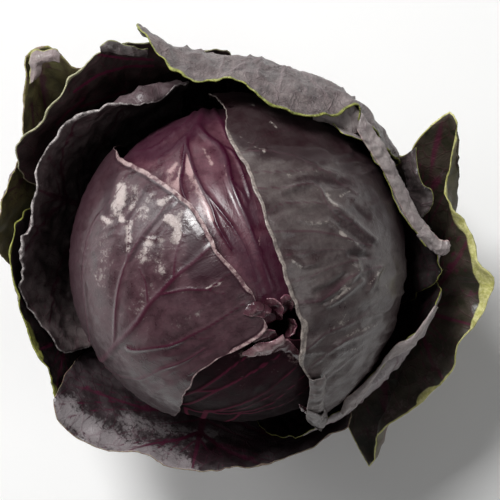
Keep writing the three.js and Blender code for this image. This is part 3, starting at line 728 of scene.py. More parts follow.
# Marks on the leaves as strokes over the photograph's pixels: strength, half width, line.
# "rim" widens the coloured band along the rim and "ridge" raises the leaf, both in millimetres,
# the pale marks are waxy bloom and painted sheen of the wet gloss, the dark marks are bare deep
# purple and painted shade, such as the top outer leaf's shadow and shade in creases, and "vein"
# has the veins' colour.
MARKS = {
    "head_leaf_left": {
        "rim": [
            (1.7, 9, [(122, 160), (130, 165), (155, 178), (170, 190), (185, 200), (200, 215),
                       (212, 240), (225, 255), (240, 275), (248, 286)]),
            (1.5, 7, [(236, 350), (246, 344), (258, 337), (265, 330)]),
            (0.4, 8, [(215, 360), (195, 375), (185, 395)]),
        ],
        # Painted sheen of the wet gloss: the bright reflection on the upper left and highlights along
        # the veins' ridges, with some waxy bloom
        "pale": [
            (1.3, 6, [(122, 188), (122, 202)]), (0.9, 6, [(115, 206), (119, 216)]),
            (0.75, 6, [(136, 190), (134, 208)]), (0.7, 8, [(151, 197), (143, 216)]),
            (1.0, 4, [(161, 204), (171, 198)]), (1.3, 7, [(167, 217), (178, 226), (178, 238)]),
            (1.1, 3.5, [(130, 228), (129, 250)]), (0.95, 7, [(149, 240), (144, 257)]),
            (0.6, 6, [(161, 238), (158, 258)]), (0.7, 6, [(160, 268), (168, 276)]),
            (0.75, 5, [(182, 214), (196, 222)]), (1.1, 2.6, [(184, 255), (187, 257)]),
            (1.1, 2.6, [(213, 246), (196, 260), (178, 275)]),
            (1.1, 2.4, [(230, 276), (218, 284), (208, 288)]),
            (0.5, 2.4, [(206, 289), (186, 292), (168, 296)]),
            (0.42, 17, [(104, 225), (98, 262), (104, 302)]), (0.35, 13, [(146, 286), (140, 310)]),
            (0.9, 2.4, [(104, 218), (110, 222)]), (0.9, 2.4, [(122, 220), (132, 222)]),
            (0.4, 7, [(106, 346), (116, 358)]),
            (0.35, 9, [(178, 322), (196, 316)]),
        ],
        # Deep maroon flesh and dark vein lines, with painted shade low on the leaf
        "dark": [
            (1.1, 9, [(194, 236), (198, 248), (190, 263)]),
            (0.9, 9, [(205, 266), (222, 268), (238, 282)]), (0.9, 6, [(196, 278), (214, 273)]),
            (1.1, 2.8, [(175, 203), (160, 218), (146, 234), (130, 260)]),
            (0.9, 2.4, [(147, 187), (142, 200), (127, 222)]),
            (1.0, 4, [(116, 172), (109, 190), (107, 212)]),
            (0.6, 9, [(206, 300), (232, 296)]),
            (0.5, 12, [(160, 350), (190, 352), (206, 344)]),
            (0.5, 8, [(128, 326), (120, 342)]),
            (0.5, 10, [(168, 296), (184, 300)]),
        ],
    },
    "head_leaf_top": {
        # Painted wet highlights and glints about the fork of the main veins
        "pale": [
            (0.75, 5, [(187, 160), (193, 178), (202, 196), (212, 216)]),
            (0.6, 9, [(152, 166), (164, 176), (174, 186)]), (1.2, 2.4, [(177, 164), (171, 172)]),
            (1.2, 2.4, [(182, 168), (177, 186)]), (1.3, 3, [(187, 152), (188, 166), (190, 173)]),
            (1.1, 3, [(209, 212), (213, 219)]), (1.0, 2.4, [(204, 150), (212, 164)]),
            (1.1, 2.4, [(225, 167), (228, 178)]), (1.0, 2.4, [(259, 232), (260, 262)]),
            (0.5, 3, [(160, 156), (172, 146)]), (0.3, 12, [(186, 190), (206, 214)]),
        ],
        # Deep magenta flesh low on the right, and the painted shadow of the top outer leaf along the
        # top
        "dark": [
            (1.1, 13, [(266, 246), (276, 276), (286, 300)]), (0.9, 9, [(246, 190), (254, 222)]),
            (0.8, 10, [(230, 236), (246, 262), (262, 296)]), (0.6, 8, [(216, 150), (236, 176)]),
            (1.0, 12, [(136, 138), (160, 124), (190, 104), (236, 104)]),
            (0.8, 6, [(206, 112), (195, 134), (180, 146), (150, 156)]),
        ],
    },
    "head_leaf_right": {
        "rim": [
            (1.3, 8, [(228, 138), (240, 155), (250, 180), (258, 205), (262, 225), (270, 235),
                      (283, 270), (286, 280), (292, 293), (292, 305), (298, 323)]),
            (2.4, 8, [(306, 326), (303, 337), (300, 348), (299, 356)]),
            (0.7, 8, [(300, 368), (307, 380), (312, 388), (310, 410)]),
        ],
        # Painted wet highlights along the wrinkles' crests, and glints up in the shade
        "pale": [
            (0.9, 2.2, [(288, 176), (306, 172)]), (0.9, 2.2, [(311, 171), (322, 173), (333, 176)]),
            (0.9, 3, [(325, 194), (331, 203), (337, 205)]), (1.1, 2.4, [(340, 197), (348, 192)]),
            (0.6, 2.4, [(305, 221), (313, 224), (327, 222), (335, 227), (342, 235)]),
            (1.0, 2.6, [(341, 234), (350, 241)]), (0.9, 2.6, [(355, 241), (358, 247)]),
            (0.9, 2.2, [(291, 260), (301, 267)]),
            (0.9, 2.2, [(319, 299), (332, 293), (344, 287)]),
            (1.0, 2.2, [(330, 301), (338, 296), (348, 288)]),
            (1.0, 2.4, [(369, 284), (373, 278), (378, 273)]), (0.7, 2.2, [(327, 307), (344, 303)]),
            (0.8, 2.4, [(343, 338), (360, 330), (376, 324)]), (0.9, 2.6, [(344, 352), (354, 348)]),
            (0.6, 5, [(354, 263), (358, 270), (348, 281)]),
            (0.5, 8, [(384, 284), (392, 300), (384, 320)]), (0.45, 9, [(330, 330), (345, 318)]),
            (0.6, 2, [(246, 155), (266, 154), (290, 158)]),
            (1.6, 2, [(240, 137), (252, 146), (264, 152)]),
            (1.9, 2.6, [(242, 101), (248, 105), (254, 107)]), (1.9, 2.2, [(257, 125), (258, 126)]),
            (1.8, 2.4, [(270, 123), (276, 128)]), (1.5, 2.2, [(252, 140), (266, 150)]),
            (0.5, 6, [(352, 152), (362, 168), (368, 182)]), (0.5, 5, [(372, 200), (380, 214)]),
            (0.5, 2, [(281, 193), (296, 187), (310, 187), (318, 192)]),
        ],
        "ridge": [
            (0.9, 2.6, [(244, 154), (266, 154), (290, 158), (312, 168), (334, 176)]),
            (0.8, 2.6, [(281, 194), (296, 187), (310, 186), (320, 194), (332, 208), (350, 222)]),
            (0.9, 3, [(300, 219), (313, 224), (327, 222), (336, 228), (350, 241), (360, 250)]),
            (1.0, 3, [(334, 208), (345, 214), (358, 227), (373, 240)]),
            (1.2, 3, [(318, 299), (334, 292), (348, 282), (358, 270), (355, 260)]),
            (1.1, 2.6, [(324, 305), (338, 298), (348, 290), (360, 280)]),
            (1.0, 2.6, [(366, 290), (373, 279), (380, 268)]),
            (0.8, 2.6, [(290, 258), (302, 266), (314, 264)]),
            (0.9, 3, [(336, 344), (350, 335), (366, 328), (380, 318)]),
            (-0.9, 3, [(316, 292), (330, 286), (344, 276)]), (-0.8, 4, [(318, 182), (340, 186)]),
            (-0.8, 3, [(340, 226), (352, 234), (366, 246)]), (-0.7, 3, [(348, 204), (366, 218)]),
            (-0.9, 3, [(350, 254), (366, 256)]), (-0.7, 2.6, [(262, 236), (276, 234)]),
        ],
        # The painted shadow of the top outer leaf over the upper part, painted shade in the wrinkles'
        # valleys, and deep maroon flesh
        "dark": [
            (1.2, 19, [(240, 104), (256, 126), (284, 140), (306, 146)]),
            (1.0, 15, [(234, 112), (246, 134), (262, 146)]),
            (1.2, 24, [(318, 126), (350, 144), (376, 176), (392, 214)]),
            (0.8, 7, [(300, 182), (322, 180), (344, 186)]), (0.5, 3, [(308, 252), (310, 247)]),
            (0.6, 5, [(338, 222), (350, 230), (362, 240)]), (0.6, 4, [(350, 206), (366, 220)]),
            (0.5, 4, [(328, 209), (350, 221), (372, 240)]),
            (0.6, 3, [(284, 258), (294, 257), (304, 264)]),
            (0.8, 4, [(306, 301), (320, 300), (336, 288)]), (0.7, 5, [(368, 268), (374, 288)]),
            (0.4, 6, [(330, 262), (352, 250), (372, 244)]), (0.4, 6, [(296, 192), (316, 200)]),
            (0.6, 6, [(352, 312), (366, 306)]), (0.5, 8, [(330, 350), (352, 342)]),
            (0.7, 5, [(349, 254), (364, 254)]), (0.8, 5, [(322, 292), (340, 280)]),
            (0.6, 6, [(322, 316), (314, 330)]), (0.5, 7, [(276, 150), (300, 152), (322, 162)]),
        ],
    },
    "head_leaf_bottom": {
        # A painted wet highlight on the puckered edge near the knot
        "pale": [(1.0, 5, [(243, 354), (258, 351), (274, 348)]), (0.5, 4, [(284, 352), (300, 362)])],
    },
    "outer_leaf_top": {
        "rim": [
            (0.9, 9, [(172, 68), (182, 80), (200, 88), (222, 81), (240, 82), (267, 106), (300, 116),
                      (325, 119), (340, 111), (353, 108), (357, 117), (369, 138), (388, 158)]),
            (2.5, 6, [(172, 74), (180, 80)]),
        ],
        "dark": [
            (0.6, 8, [(190, 66), (212, 70)]),
            (0.6, 9, [(262, 74), (284, 70), (300, 78)]),
            (0.6, 7, [(318, 96), (334, 92)]),
            (0.5, 7, [(240, 64), (256, 60)]),
        ],
        "pale": [
            (0.5, 9, [(160, 48), (172, 58), (186, 60)]),
            (0.5, 9, [(224, 68), (244, 74)]),
            (0.5, 10, [(292, 92), (316, 106)]),
        ],
    },
    "outer_leaf_left": {
        "rim": [(1.1, 9, [(118, 110), (100, 111), (80, 121), (63, 141), (57, 152), (46, 171),
                          (34, 190), (24, 225), (21, 250), (22, 280)])],
        # Painted glints on the beads of the rim
        "pale": [(0.7, 3, [(56, 154), (61, 159)]), (0.7, 4, [(36, 187), (43, 183)]),
                 (0.6, 4, [(90, 120), (97, 119)]), (0.5, 4, [(22, 262), (25, 270)])],
    },
    "outer_leaf_right_bottom": {
        "rim": [(1.6, 6, [(376, 374), (384, 366)]), (1.6, 6, [(347, 401), (361, 389)]),
                (1.2, 5, [(405, 354), (408, 352)])],
    },
    "outer_leaf_bottom": {
        "rim": [(1.0, 7, [(262, 458), (280, 450), (303, 440)])],
        # Painted light on the bottom outer leaf's upturned face, with its waxy bloom
        "pale": [
            (1.3, 17, [(64, 408), (84, 428), (112, 444), (150, 456), (184, 466)]),
            (0.9, 9, [(124, 417), (146, 425), (184, 433), (214, 436)]),
            (0.5, 6, [(200, 452), (240, 444)]),
        ],
        "dark": [(0.9, 9, [(196, 458), (244, 447), (286, 430)])],
    },
    "outer_leaf_right": {
        "rim": [
            (1.0, 9, [(449, 195), (455, 206), (458, 222)]),
            (1.8, 9, [(458, 222), (468, 240), (476, 256)]),
            (6.5, 12, [(484, 270), (492, 282), (490, 292)]),
            (2.5, 9, [(484, 310), (480, 322)]),
            (2.2, 6, [(422, 398), (430, 392)]),
        ],
        "pale": [(0.55, 9, [(366, 436), (386, 418), (410, 400), (424, 386)]),
                 (0.45, 7, [(430, 376), (440, 358), (448, 344)]), (0.7, 2.5, [(438, 190), (448, 140)])],
    },
    "outer_leaf_left_top": {
        "vein": [(1, 1.6, [(73, 91), (98, 74), (126, 66), (153, 65)]),
                 (1, 1.5, [(80, 106), (103, 99), (126, 91)]),
                 (1, 1.5, [(96, 54), (126, 58), (153, 59)]),
                 (0.8, 1.5, [(56, 124), (66, 112), (84, 98)])],
        "rim": [(0.9, 9, [(75, 73), (70, 84), (62, 99), (52, 112), (39, 124), (30, 138), (27, 145)])],
    },
    "outer_leaf_left_bottom": {
        "rim": [(2.0, 6, [(4, 240), (10, 250)]), (3.4, 7, [(29, 328), (37, 340)]),
                (2.4, 6, [(39, 347), (43, 354)]), (1.6, 6, [(13, 288), (18, 297)]),
                (2.0, 6, [(52, 382), (57, 392)])],
    },
    "outer_leaf_far_left": {
        "vein": [(0.9, 1.6, [(31, 103), (33, 130)]), (0.9, 1.6, [(46, 88), (49, 107)])],
        "rim": [(1.6, 7, [(32, 60), (34, 74), (30, 92)])],
    },
}

CALM_FOOT = (4, 30)  # millimetres from the foot to where a leaf begins to crinkle, and on to full
PUCKER_WIDTH = 5.0  # of the furrow in which a vein lies
FRILL_WIDTH = 7.0
CREASE_SHARPNESS = 0.8
CREASE_LENGTH = 0.28  # creases are stretched along the leaf by one over this
CREASE_FIELD = 19.0  # size of the areas with many or few creases
CREASE_FLOOR = -0.3
WIDEST_VEIN = 4.0  # veins wider than this don't stand out further
BEAD_SIZE = 2.6
LIP_WIDTH = 0.75  # of the lip on a rim, as a share of the rim's coloured band
LIP_LIMITS = (0.3, 1.2)  # of that band, for the lip's width and its height
EDGE_TAPER = 6.0  # millimetres over which a blade thins to its rim
GROOVE_FLESH = 0.15  # half thickness that is left under a groove
SHADE_START = 46  # degrees from the top of the head where the painted shade down its flanks begins
SHADE_SPAN = 30


def smoothstep(x):
    x = np.clip(x, 0, 1)
    return x * x * (3 - 2 * x)


def creases(places, size):
    """Sharp creases with the value 1, and down to -1 between them."""
    return 1 - 2 * np.abs(fine_noise.at(places, size)) ** CREASE_SHARPNESS


def relief(surface, grid, form, nearest, edge, share, places):
    """How far the leaf is raised along its normals, in millimetres."""
    size = form["crinkle_size"]
    swell = crinkles.at(places, size) + 0.5 * crinkles.at(places, size / 2.3)
    bulge = form["pucker"] * (1 - np.exp(-((nearest / PUCKER_WIDTH) ** 2)))
    size = form["frill_size"]
    frill = 2 * fine_noise.at(places, size) + fine_noise.at(places, size / 2.2)
    frill = form["frill"] * frill * np.exp(-((edge / FRILL_WIDTH) ** 2)) * smoothstep(share * 2 - 0.8)
    stretched = np.column_stack([grid.flat[:, 0] * CREASE_LENGTH, grid.flat[:, 1], 0 * edge])
    stretched = stretched * surface.middle
    crease = creases(stretched + 40, form["wrinkle_size"])
    crease = crease * smoothstep(0.5 + 1.5 * crinkles.at(stretched, CREASE_FIELD))
    wrinkle = form["wrinkle"] * np.maximum(crease, CREASE_FLOOR)
    strokes = MARKS.get(surface.name, {}).get("ridge", [])
    ridge = painted(photo_pixels(places + HEAD_CENTRE), strokes)
    return form["crinkle"] * swell + bulge + frill + wrinkle + ridge


def leaf_face(surface, grid, veins, form, outside):
    """One face of a blade: its points, and what the material reads at them."""
    middle = surface.middle
    bearing = np.arctan2(grid.flat[:, 1], -grid.flat[:, 0])
    share = np.hypot(grid.flat[:, 0], grid.flat[:, 1]) / surface.reach(bearing)
    places = surface.at(grid.flat)
    normals = normals_of(places, grid.quads)
    if np.sum(normals * places) < 0:
        normals = -normals
    rise, width, nearest = vein_field(grid.flat, veins, middle)
    edge = rim_distance(grid.flat, surface, middle)
    start, span = CALM_FOOT
    calm = smoothstep((grid.flat[:, 0] * middle + surface.foot_reach * middle - start) / span)
    raised = relief(surface, grid, form, nearest, edge, share, places)
    places = places + normals * (raised * calm)[:, None]
    half = (RIM_THICKNESS + (THICKNESS - RIM_THICKNESS) * smoothstep(edge / EDGE_TAPER)) / 2
    vein = rise * np.minimum(width, WIDEST_VEIN)
    in_frame = places + HEAD_CENTRE
    pixels = photo_pixels(in_frame)
    marks = {"rim": [], "pale": [], "dark": [], "vein": [], **MARKS.get(surface.name, {})}
    rim = form["rim"] + painted(pixels, marks["rim"], RIM_HARDNESS)
    beads = 0.8 + 0.5 * fine_noise.at(places, BEAD_SIZE)
    if outside:
        lift = half + form["vein_height"] * vein ** 0.8 * (0.4 + 0.6 * calm)
        least, most = LIP_LIMITS
        lip = np.exp(-((edge / (LIP_WIDTH * np.maximum(rim, least))) ** 2)) * np.minimum(rim, most)
        lift = lift + form["lip"] * lip * beads * calm
    else:
        lift = -(half - np.minimum(form["groove"] * vein, half - GROOVE_FLESH))
    points = in_frame + normals * lift[:, None]
    from_top = np.degrees(np.arccos(unit(places)[:, 2]))
    # Painted shade down the head's flanks, which is added to the dark marks as well
    deep = form["shade"] * smoothstep((from_top - SHADE_START) / SHADE_SPAN)
    drawn = form["veins"] * rise * np.minimum(1, 0.55 + 0.4 * width)
    values = {
        "vein": np.maximum(drawn, painted(pixels, marks["vein"])),
        "edge": edge,
        "rim": rim,
        "pale": painted(pixels, marks["pale"]),
        "dark": painted(pixels, marks["dark"]) + deep,
        "deep": deep,
        "inside": np.full(len(points), 0.0 if outside else 1.0),
    }
    return points, values


def build_leaf(leaf, seed):
    """A closed leaf: two faces with veins, and the rounded rim between them."""
    name = leaf["name"]
    form = {**PLAIN_FORM, **FORMS.get(name, {})}
    surface = Surface(leaf)
    veins = photo_veins(surface, name) if name in PHOTO_VEINS else pattern_veins(surface, seed)
    outer = Grid(surface, form["lines"], form["steps"])
    inner = Grid(surface, form["lines"], form["inner_steps"])
    outer_points, outer_values = leaf_face(surface, outer, veins, form, True)
    inner_points, inner_values = leaf_face(surface, inner, veins, form, False)
    count = len(outer_points)
    points = np.vstack([outer_points, inner_points])
    values = {key: np.concatenate([outer_values[key], inner_values[key]]) for key in outer_values}
    flat = np.vstack([outer.flat, inner.flat]) * surface.middle / 100
    faces = [outer.quads, inner.quads[:, ::-1] + count]
    facing = np.sum(normals_of(outer_points, outer.quads) * (outer_points - HEAD_CENTRE))
    inner_rim = inner.rim + count
    rim = np.stack([outer.rim[:-1], outer.rim[1:], inner_rim[1:], inner_rim[:-1]], 1)
    foot = zipper(outer.foot_edge, inner.foot_edge + count)
    faces += [rim, foot]
    if facing < 0:
        faces = [f[:, ::-1] for f in faces]
    piece = make_mesh(name + "_blade", points, faces, values, flat)
    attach(piece, "root")
    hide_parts(name)
    return piece


# The imported heart, with the hollow between the leaf ends at the crown, painted dark with its shadow
HOLLOW_PIXEL = (289, 329)
HOLLOW_DEPTH = 15.0
HOLLOW_WIDTH = 7.0
HOLLOW_FOLDS = 42  # how far from the hollow the folds of the inner leaves run
FOLD_DEPTH = 1.4
SWIRL_STEP = 9.0
HEART_RINGS = 120
HEART_SIDES = 128


def build_heart():
    """The inner leaves as one ball, with creases where they overlap and a hollow at the knot."""
    axis = unit(from_photo([HOLLOW_PIXEL], HEART_RADIUS)[0])
    across = unit(np.cross(axis, [0, 0, 1.0]))
    third = np.cross(axis, across)
    angles = np.pi * np.linspace(0, 1, HEART_RINGS + 1)[1:-1] ** 1.6
    turns = np.linspace(0, TURN, HEART_SIDES, endpoint=False)
    angle, turn = np.meshgrid(angles, turns, indexing="ij")
    angle, turn = angle.ravel(), turn.ravel()
    angle = np.concatenate([[0], angle, [np.pi]])
    turn = np.concatenate([[0], turn, [0]])
    direction = (np.cos(angle)[:, None] * axis + (np.sin(angle) * np.cos(turn))[:, None] * across
                 + (np.sin(angle) * np.sin(turn))[:, None] * third)
    out = angle * HEART_RADIUS
    sway = 1.5 * fine_noise.at(direction * HEART_RADIUS, 14.0)
    swirl = np.sin(3 * turn + out / SWIRL_STEP + sway)
    fade = np.exp(-((out / HOLLOW_FOLDS) ** 2))
    folds = FOLD_DEPTH * (np.abs(swirl) ** 0.6 - 1) * fade * np.minimum(1, out / 6)
    pit = HOLLOW_DEPTH * np.exp(-((out / HOLLOW_WIDTH) ** 2))
    radius = HEART_RADIUS - 0.3 + folds - pit + 0.25 * crinkles.at(direction * HEART_RADIUS, 9.0)
    points = direction * radius[:, None] + HEAD_CENTRE
    ids = 1 + np.arange(len(angles) * HEART_SIDES).reshape(-1, HEART_SIDES)
    quads = ring_quads(ids)
    last = len(points) - 1
    caps = np.vstack([np.stack([np.zeros(HEART_SIDES, int), ids[0], np.roll(ids[0], -1)], 1),
                      np.stack([np.full(HEART_SIDES, last), np.roll(ids[-1], -1), ids[-1]], 1)])
    normals = normals_of(points, quads)
    if np.sum(normals * direction) < 0:
        quads, caps = quads[:, ::-1], caps[:, ::-1]
    heart = make_mesh("heart_leaves", points, [quads, caps], {"fold": swirl, "depth": pit})
    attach(heart, "root")
    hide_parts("heart")
    return heart


# Small folded leaf ends, each a sheet between its free edge and its root. Both lines are pixels of
# the photograph on balls round the head's centre, or pixels with a height above the cut face each,
# and the sheet bows out between them.
FOLDS = [
    {"name": "crown_fold_1", "part": "heart", "look": "crown", "radii": (80.6, 79.6), "bow": 1.0,
     "edge": [(243, 314), (253, 316), (262, 318), (268, 316)],
     "root": [(247, 304), (257, 302), (266, 304), (272, 309)]},
    {"name": "crown_fold_2", "part": "heart", "look": "crown", "radii": (78.4, 72.0), "bow": 1.6,
     "edge": [(267, 299), (274, 298), (280, 302), (284, 308), (284, 315)],
     "root": [(259, 305), (264, 309), (270, 313), (275, 317), (279, 321)]},
    {"name": "crown_fold_3", "part": "heart", "look": "crown", "radii": (77.6, 72.4), "bow": 1.4,
     "edge": [(280, 298), (285, 294), (291, 296), (294, 303)],
     "root": [(280, 307), (284, 306), (288, 307), (291, 311)]},
    {"name": "crown_fold_4", "part": "heart", "look": "highlit_crown", "radii": (79.0, 77.0),
     "bow": 1.3,
     "edge": [(242, 353), (250, 348), (258, 343), (268, 342), (276, 339), (283, 334)],
     "root": [(243, 355), (251, 356), (260, 355), (268, 353), (276, 347), (284, 340)]},
    {"name": "crown_fold_5", "part": "heart", "look": "crown", "radii": (77.4, 70.0), "bow": 0.8,
     "edge": [(290, 336), (294, 332), (296, 326), (294, 319)],
     "root": [(284, 337), (287, 331), (288, 325), (287, 318)]},
    {"name": "crown_fold_6", "part": "heart", "look": "crown", "radii": (77.6, 74.6), "bow": 1.2,
     "edge": [(280, 341), (287, 339), (292, 343), (298, 350)],
     "root": [(272, 352), (281, 354), (290, 357), (298, 361)]},
    {"name": "crown_fold_7", "part": "heart", "look": "crown", "radii": (79.4, 76.0), "bow": 0.8,
     "edge": [(252, 338), (260, 333), (268, 329), (275, 330)],
     "root": [(254, 343), (262, 341), (270, 339), (278, 337)]},
    {"name": "twisted_tail", "part": "head_leaf_right", "look": "tail", "radii": (83.0, 83.4),
     "bow": 2.2,
     "edge": [(309, 378), (310, 388), (309, 397), (307, 406), (307, 414)],
     "root": [(325, 374), (325, 387), (323, 398), (323, 407), (325, 413)]},
    {"name": "tail_knob", "part": "head_leaf_right", "look": "tail", "radii": (84.0, 84.0), "bow": 3.6,
     "edge": [(308, 409), (306, 416), (309, 422), (315, 425)],
     "root": [(324, 408), (327, 414), (326, 420), (320, 424)]},
    {"name": "tail_twig", "part": "head_leaf_right", "look": "crown", "radii": (80.6, 80.6), "bow": 0.7,
     "edge": [(298, 404), (303, 406), (309, 410)],
     "root": [(299, 407), (303, 410), (308, 414)]},
    {"name": "top_underlobe", "part": "outer_leaf_top", "look": "grey", "bow": 1.5,
     "edge": [(313, 119, 137), (325, 122, 135), (334, 126, 134), (345, 133, 134), (353, 134, 134),
              (361, 129, 134)],
     "root": [(312, 114, 140), (322, 114, 140), (332, 111, 140), (342, 106, 139), (352, 105, 138),
              (360, 113, 137)]},
    {"name": "right_curl", "part": "outer_leaf_right", "look": "brown", "bow": 3.0, "painted_gloss": 0.4,
     "edge": [(416, 147, 114), (418, 168, 116), (423, 184, 116), (432, 190, 116), (433, 203, 115),
              (424, 217, 112)],
     "root": [(402, 158, 108), (404, 172, 106), (407, 184, 106), (410, 196, 106), (413, 208, 106),
              (416, 219, 106)]},
    {"name": "right_strip", "part": "outer_leaf_right_top", "look": "grey", "bow": 1.2,
     "edge": [(357, 130, 140), (364, 142, 139), (373, 155, 137), (387, 177, 133), (400, 205, 127),
              (411, 224, 123), (423, 238, 120)],
     "root": [(361, 113, 139), (374, 131, 138), (386, 149, 136), (397, 171, 132), (408, 193, 127),
              (419, 216, 122), (430, 229, 118)]},
    {"name": "right_bottom_lip", "part": "outer_leaf_right_bottom", "look": "grey", "bow": 1.6,
     "edge": [(436, 304, 120), (422, 325, 121), (410, 338, 121), (398, 343, 122), (388, 354, 121),
              (376, 371, 120), (355, 391, 117), (346, 398, 114), (341, 413, 110)],
     "root": [(437, 307, 116), (423, 329, 117), (414, 346, 117), (403, 352, 117), (390, 359, 117),
              (376, 376, 116), (363, 394, 113), (355, 406, 110), (343, 416, 107)]},
    {"name": "strip_knob", "part": "outer_leaf_right_top", "look": "grey", "bow": 2.0,
     "edge": [(424, 225, 121), (434, 234, 120), (442, 240, 119), (448, 240, 119), (450, 246, 118)],
     "root": [(417, 234, 120), (428, 246, 118), (438, 254, 117), (445, 254, 117), (449, 250, 117)]},
    {"name": "far_left_tip", "part": "outer_leaf_far_left", "look": "pink", "bow": 2.0,
     "edge": [(31, 84, 120), (31, 70, 122), (31, 57, 124), (37, 51, 125), (46, 52, 126), (56, 49, 126),
              (60, 53, 126)],
     "root": [(36, 80, 122), (41, 72, 124), (42, 65, 126), (44, 62, 127), (50, 61, 128), (55, 61, 128),
              (60, 62, 127)]},
    {"name": "left_top_fold", "part": "outer_leaf_left_top", "look": "brown", "bow": 1.6,
     "edge": [(100, 47, 136), (110, 41, 136), (126, 45, 134), (148, 50, 128)],
     "root": [(101, 51, 138), (112, 53, 138), (130, 56, 136), (148, 57, 130)]},
]
FOLD_LINES = 60
FOLD_ROWS = 18
FOLD_THICKNESS = 0.8
FOLD_WAVES = [(0.6, 4.5), (0.35, 2.2)]  # height and size of the coarse and the fine waves
FOLD_CREASE = (0.5, 3.4)
# Strength of the painted sheen on a fold, unless the fold gives its own
FOLD_PAINTED_GLOSS = 0.6
FOLD_RIM = 0.5


def at_heights(rows):
    """Places of rows of a pixel and a height, given from the head's centre."""
    depth = (CAMERA_HEIGHT - rows[:, 2]) / FOCAL_PIXELS
    return np.column_stack([CAMERA_X + (rows[:, 0] - HALF_PHOTO) * depth,
                            CAMERA_Y - (rows[:, 1] - HALF_PHOTO) * depth,
                            rows[:, 2] - HEAD_HEIGHT])


def fold_lines(fold):
    """The free edge and the root of a fold, and the way in which its sheet bows out."""
    splits = FOLD_LINES // (len(fold["edge"]) - 1)
    edge = smooth_path(fold["edge"], splits)
    root = smooth_path(fold["root"], splits)
    if "radii" not in fold:
        return at_heights(edge), at_heights(root), np.array([0, 0, 1.0])
    edge = from_photo(edge, fold["radii"][0])
    root = from_photo(root, fold["radii"][1])
    return edge, root, unit(edge + root)[None]


def build_fold(fold):
    """One folded leaf end: a crumpled sheet from its root to its curled, wavy edge."""
    edge, root, outward = fold_lines(fold)
    t = np.linspace(0, 1, FOLD_ROWS)[:, None, None]
    sheet = root[None] * (1 - t) + edge[None] * t + outward * fold["bow"] * np.sin(t * np.pi)
    lines = sheet.shape[1]
    flat_sheet = sheet.reshape(-1, 3)
    ids = np.arange(FOLD_ROWS * lines).reshape(FOLD_ROWS, lines)
    quads = grid_quads(ids)
    normals = normals_of(flat_sheet, quads)
    flip = np.sum(normals * flat_sheet) < 0
    if flip:
        normals, quads = -normals, quads[:, ::-1]
    (coarse, coarse_size), (fine, fine_size) = FOLD_WAVES
    wave = coarse * crinkles.at(flat_sheet, coarse_size) + fine * fine_noise.at(flat_sheet, fine_size)
    depth, size = FOLD_CREASE
    crease = creases(flat_sheet + 30, size)
    flat_sheet = flat_sheet + normals * (wave + depth * crease)[:, None]
    ends = np.sin(np.pi * np.linspace(0, 1, lines)) ** 0.3
    half = FOLD_THICKNESS / 2 * (0.35 + 0.65 * np.tile(ends, FOLD_ROWS))[:, None]
    top = flat_sheet + normals * half
    bottom = flat_sheet - normals * half
    points = np.vstack([top, bottom]) + HEAD_CENTRE
    count = len(top)
    loop = np.concatenate([ids[0, :], ids[1:, -1], ids[-1, -2::-1], ids[-2:0:-1, 0]])
    after = np.roll(loop, -1)
    band = np.stack([loop, after, after + count, loop + count], 1)
    if flip:
        band = band[:, ::-1]
    rows = np.repeat(np.linspace(0, 1, FOLD_ROWS), lines)
    width = np.linalg.norm(edge - root, axis=1).mean()
    none = np.zeros(2 * count)
    values = {
        "vein": none, "dark": none, "deep": none, "inside": none,
        "edge": np.tile((1 - rows) * width, 2),
        "rim": none + FOLD_RIM,
        # Painted sheen, brightest on the creases' crests
        "pale": np.tile(0.45 + 0.5 * crease, 2) * fold.get("painted_gloss", FOLD_PAINTED_GLOSS),
    }
    across = np.tile(np.linspace(0, 0.3, lines), FOLD_ROWS)
    flat = np.tile(np.column_stack([rows * 0.1, across]), (2, 1))
    piece = make_mesh(fold["name"], points, [quads, quads[:, ::-1] + count, band], values, flat)
    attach(piece, "root")
    return piece


STALK_SIDES = 96
STALK_STEP = 0.5  # height of a ring of the stalk's skin
CUT_RINGS = 28
SCAR_HALF_WIDTH = 12.5
SCAR_HEIGHT = 1.6
SCAR_DEPTH = 1.1


def stalk_skin():
    """Rings of the stalk's skin, with its leaf scars and ribs."""
    profile = np.array(STALK_PROFILE, float)
    heights = np.arange(0, STALK_TOP, STALK_STEP)
    radii = np.interp(heights, profile[:, 1], profile[:, 0])
    turns = np.linspace(0, TURN, STALK_SIDES, endpoint=False)
    z, turn = np.meshgrid(heights, turns, indexing="ij")
    radius = np.repeat(radii[:, None], STALK_SIDES, axis=1)
    for leaf in HEAD_LEAVES + OUTER_LEAVES:
        off = (turn - math.radians(leaf["azimuth"]) + np.pi) % TURN - np.pi
        scar = np.exp(-((off * STALK_RADIUS / SCAR_HALF_WIDTH) ** 4)
                      - ((z - leaf["foot"]) / SCAR_HEIGHT) ** 2)
        radius = radius + SCAR_DEPTH * scar * (radius > 14)
    skin = np.stack([radius * np.cos(turn), radius * np.sin(turn), z], -1).reshape(-1, 3)
    ribs = 0.18 * fine_noise.at(skin * [1, 1, 0.25], 2.2) + 0.2 * crinkles.at(skin, 6.0)
    fade = smoothstep(skin[:, 2] / 1.5)
    skin[:, :2] *= (1 + ribs * fade / STALK_RADIUS)[:, None]
    return skin


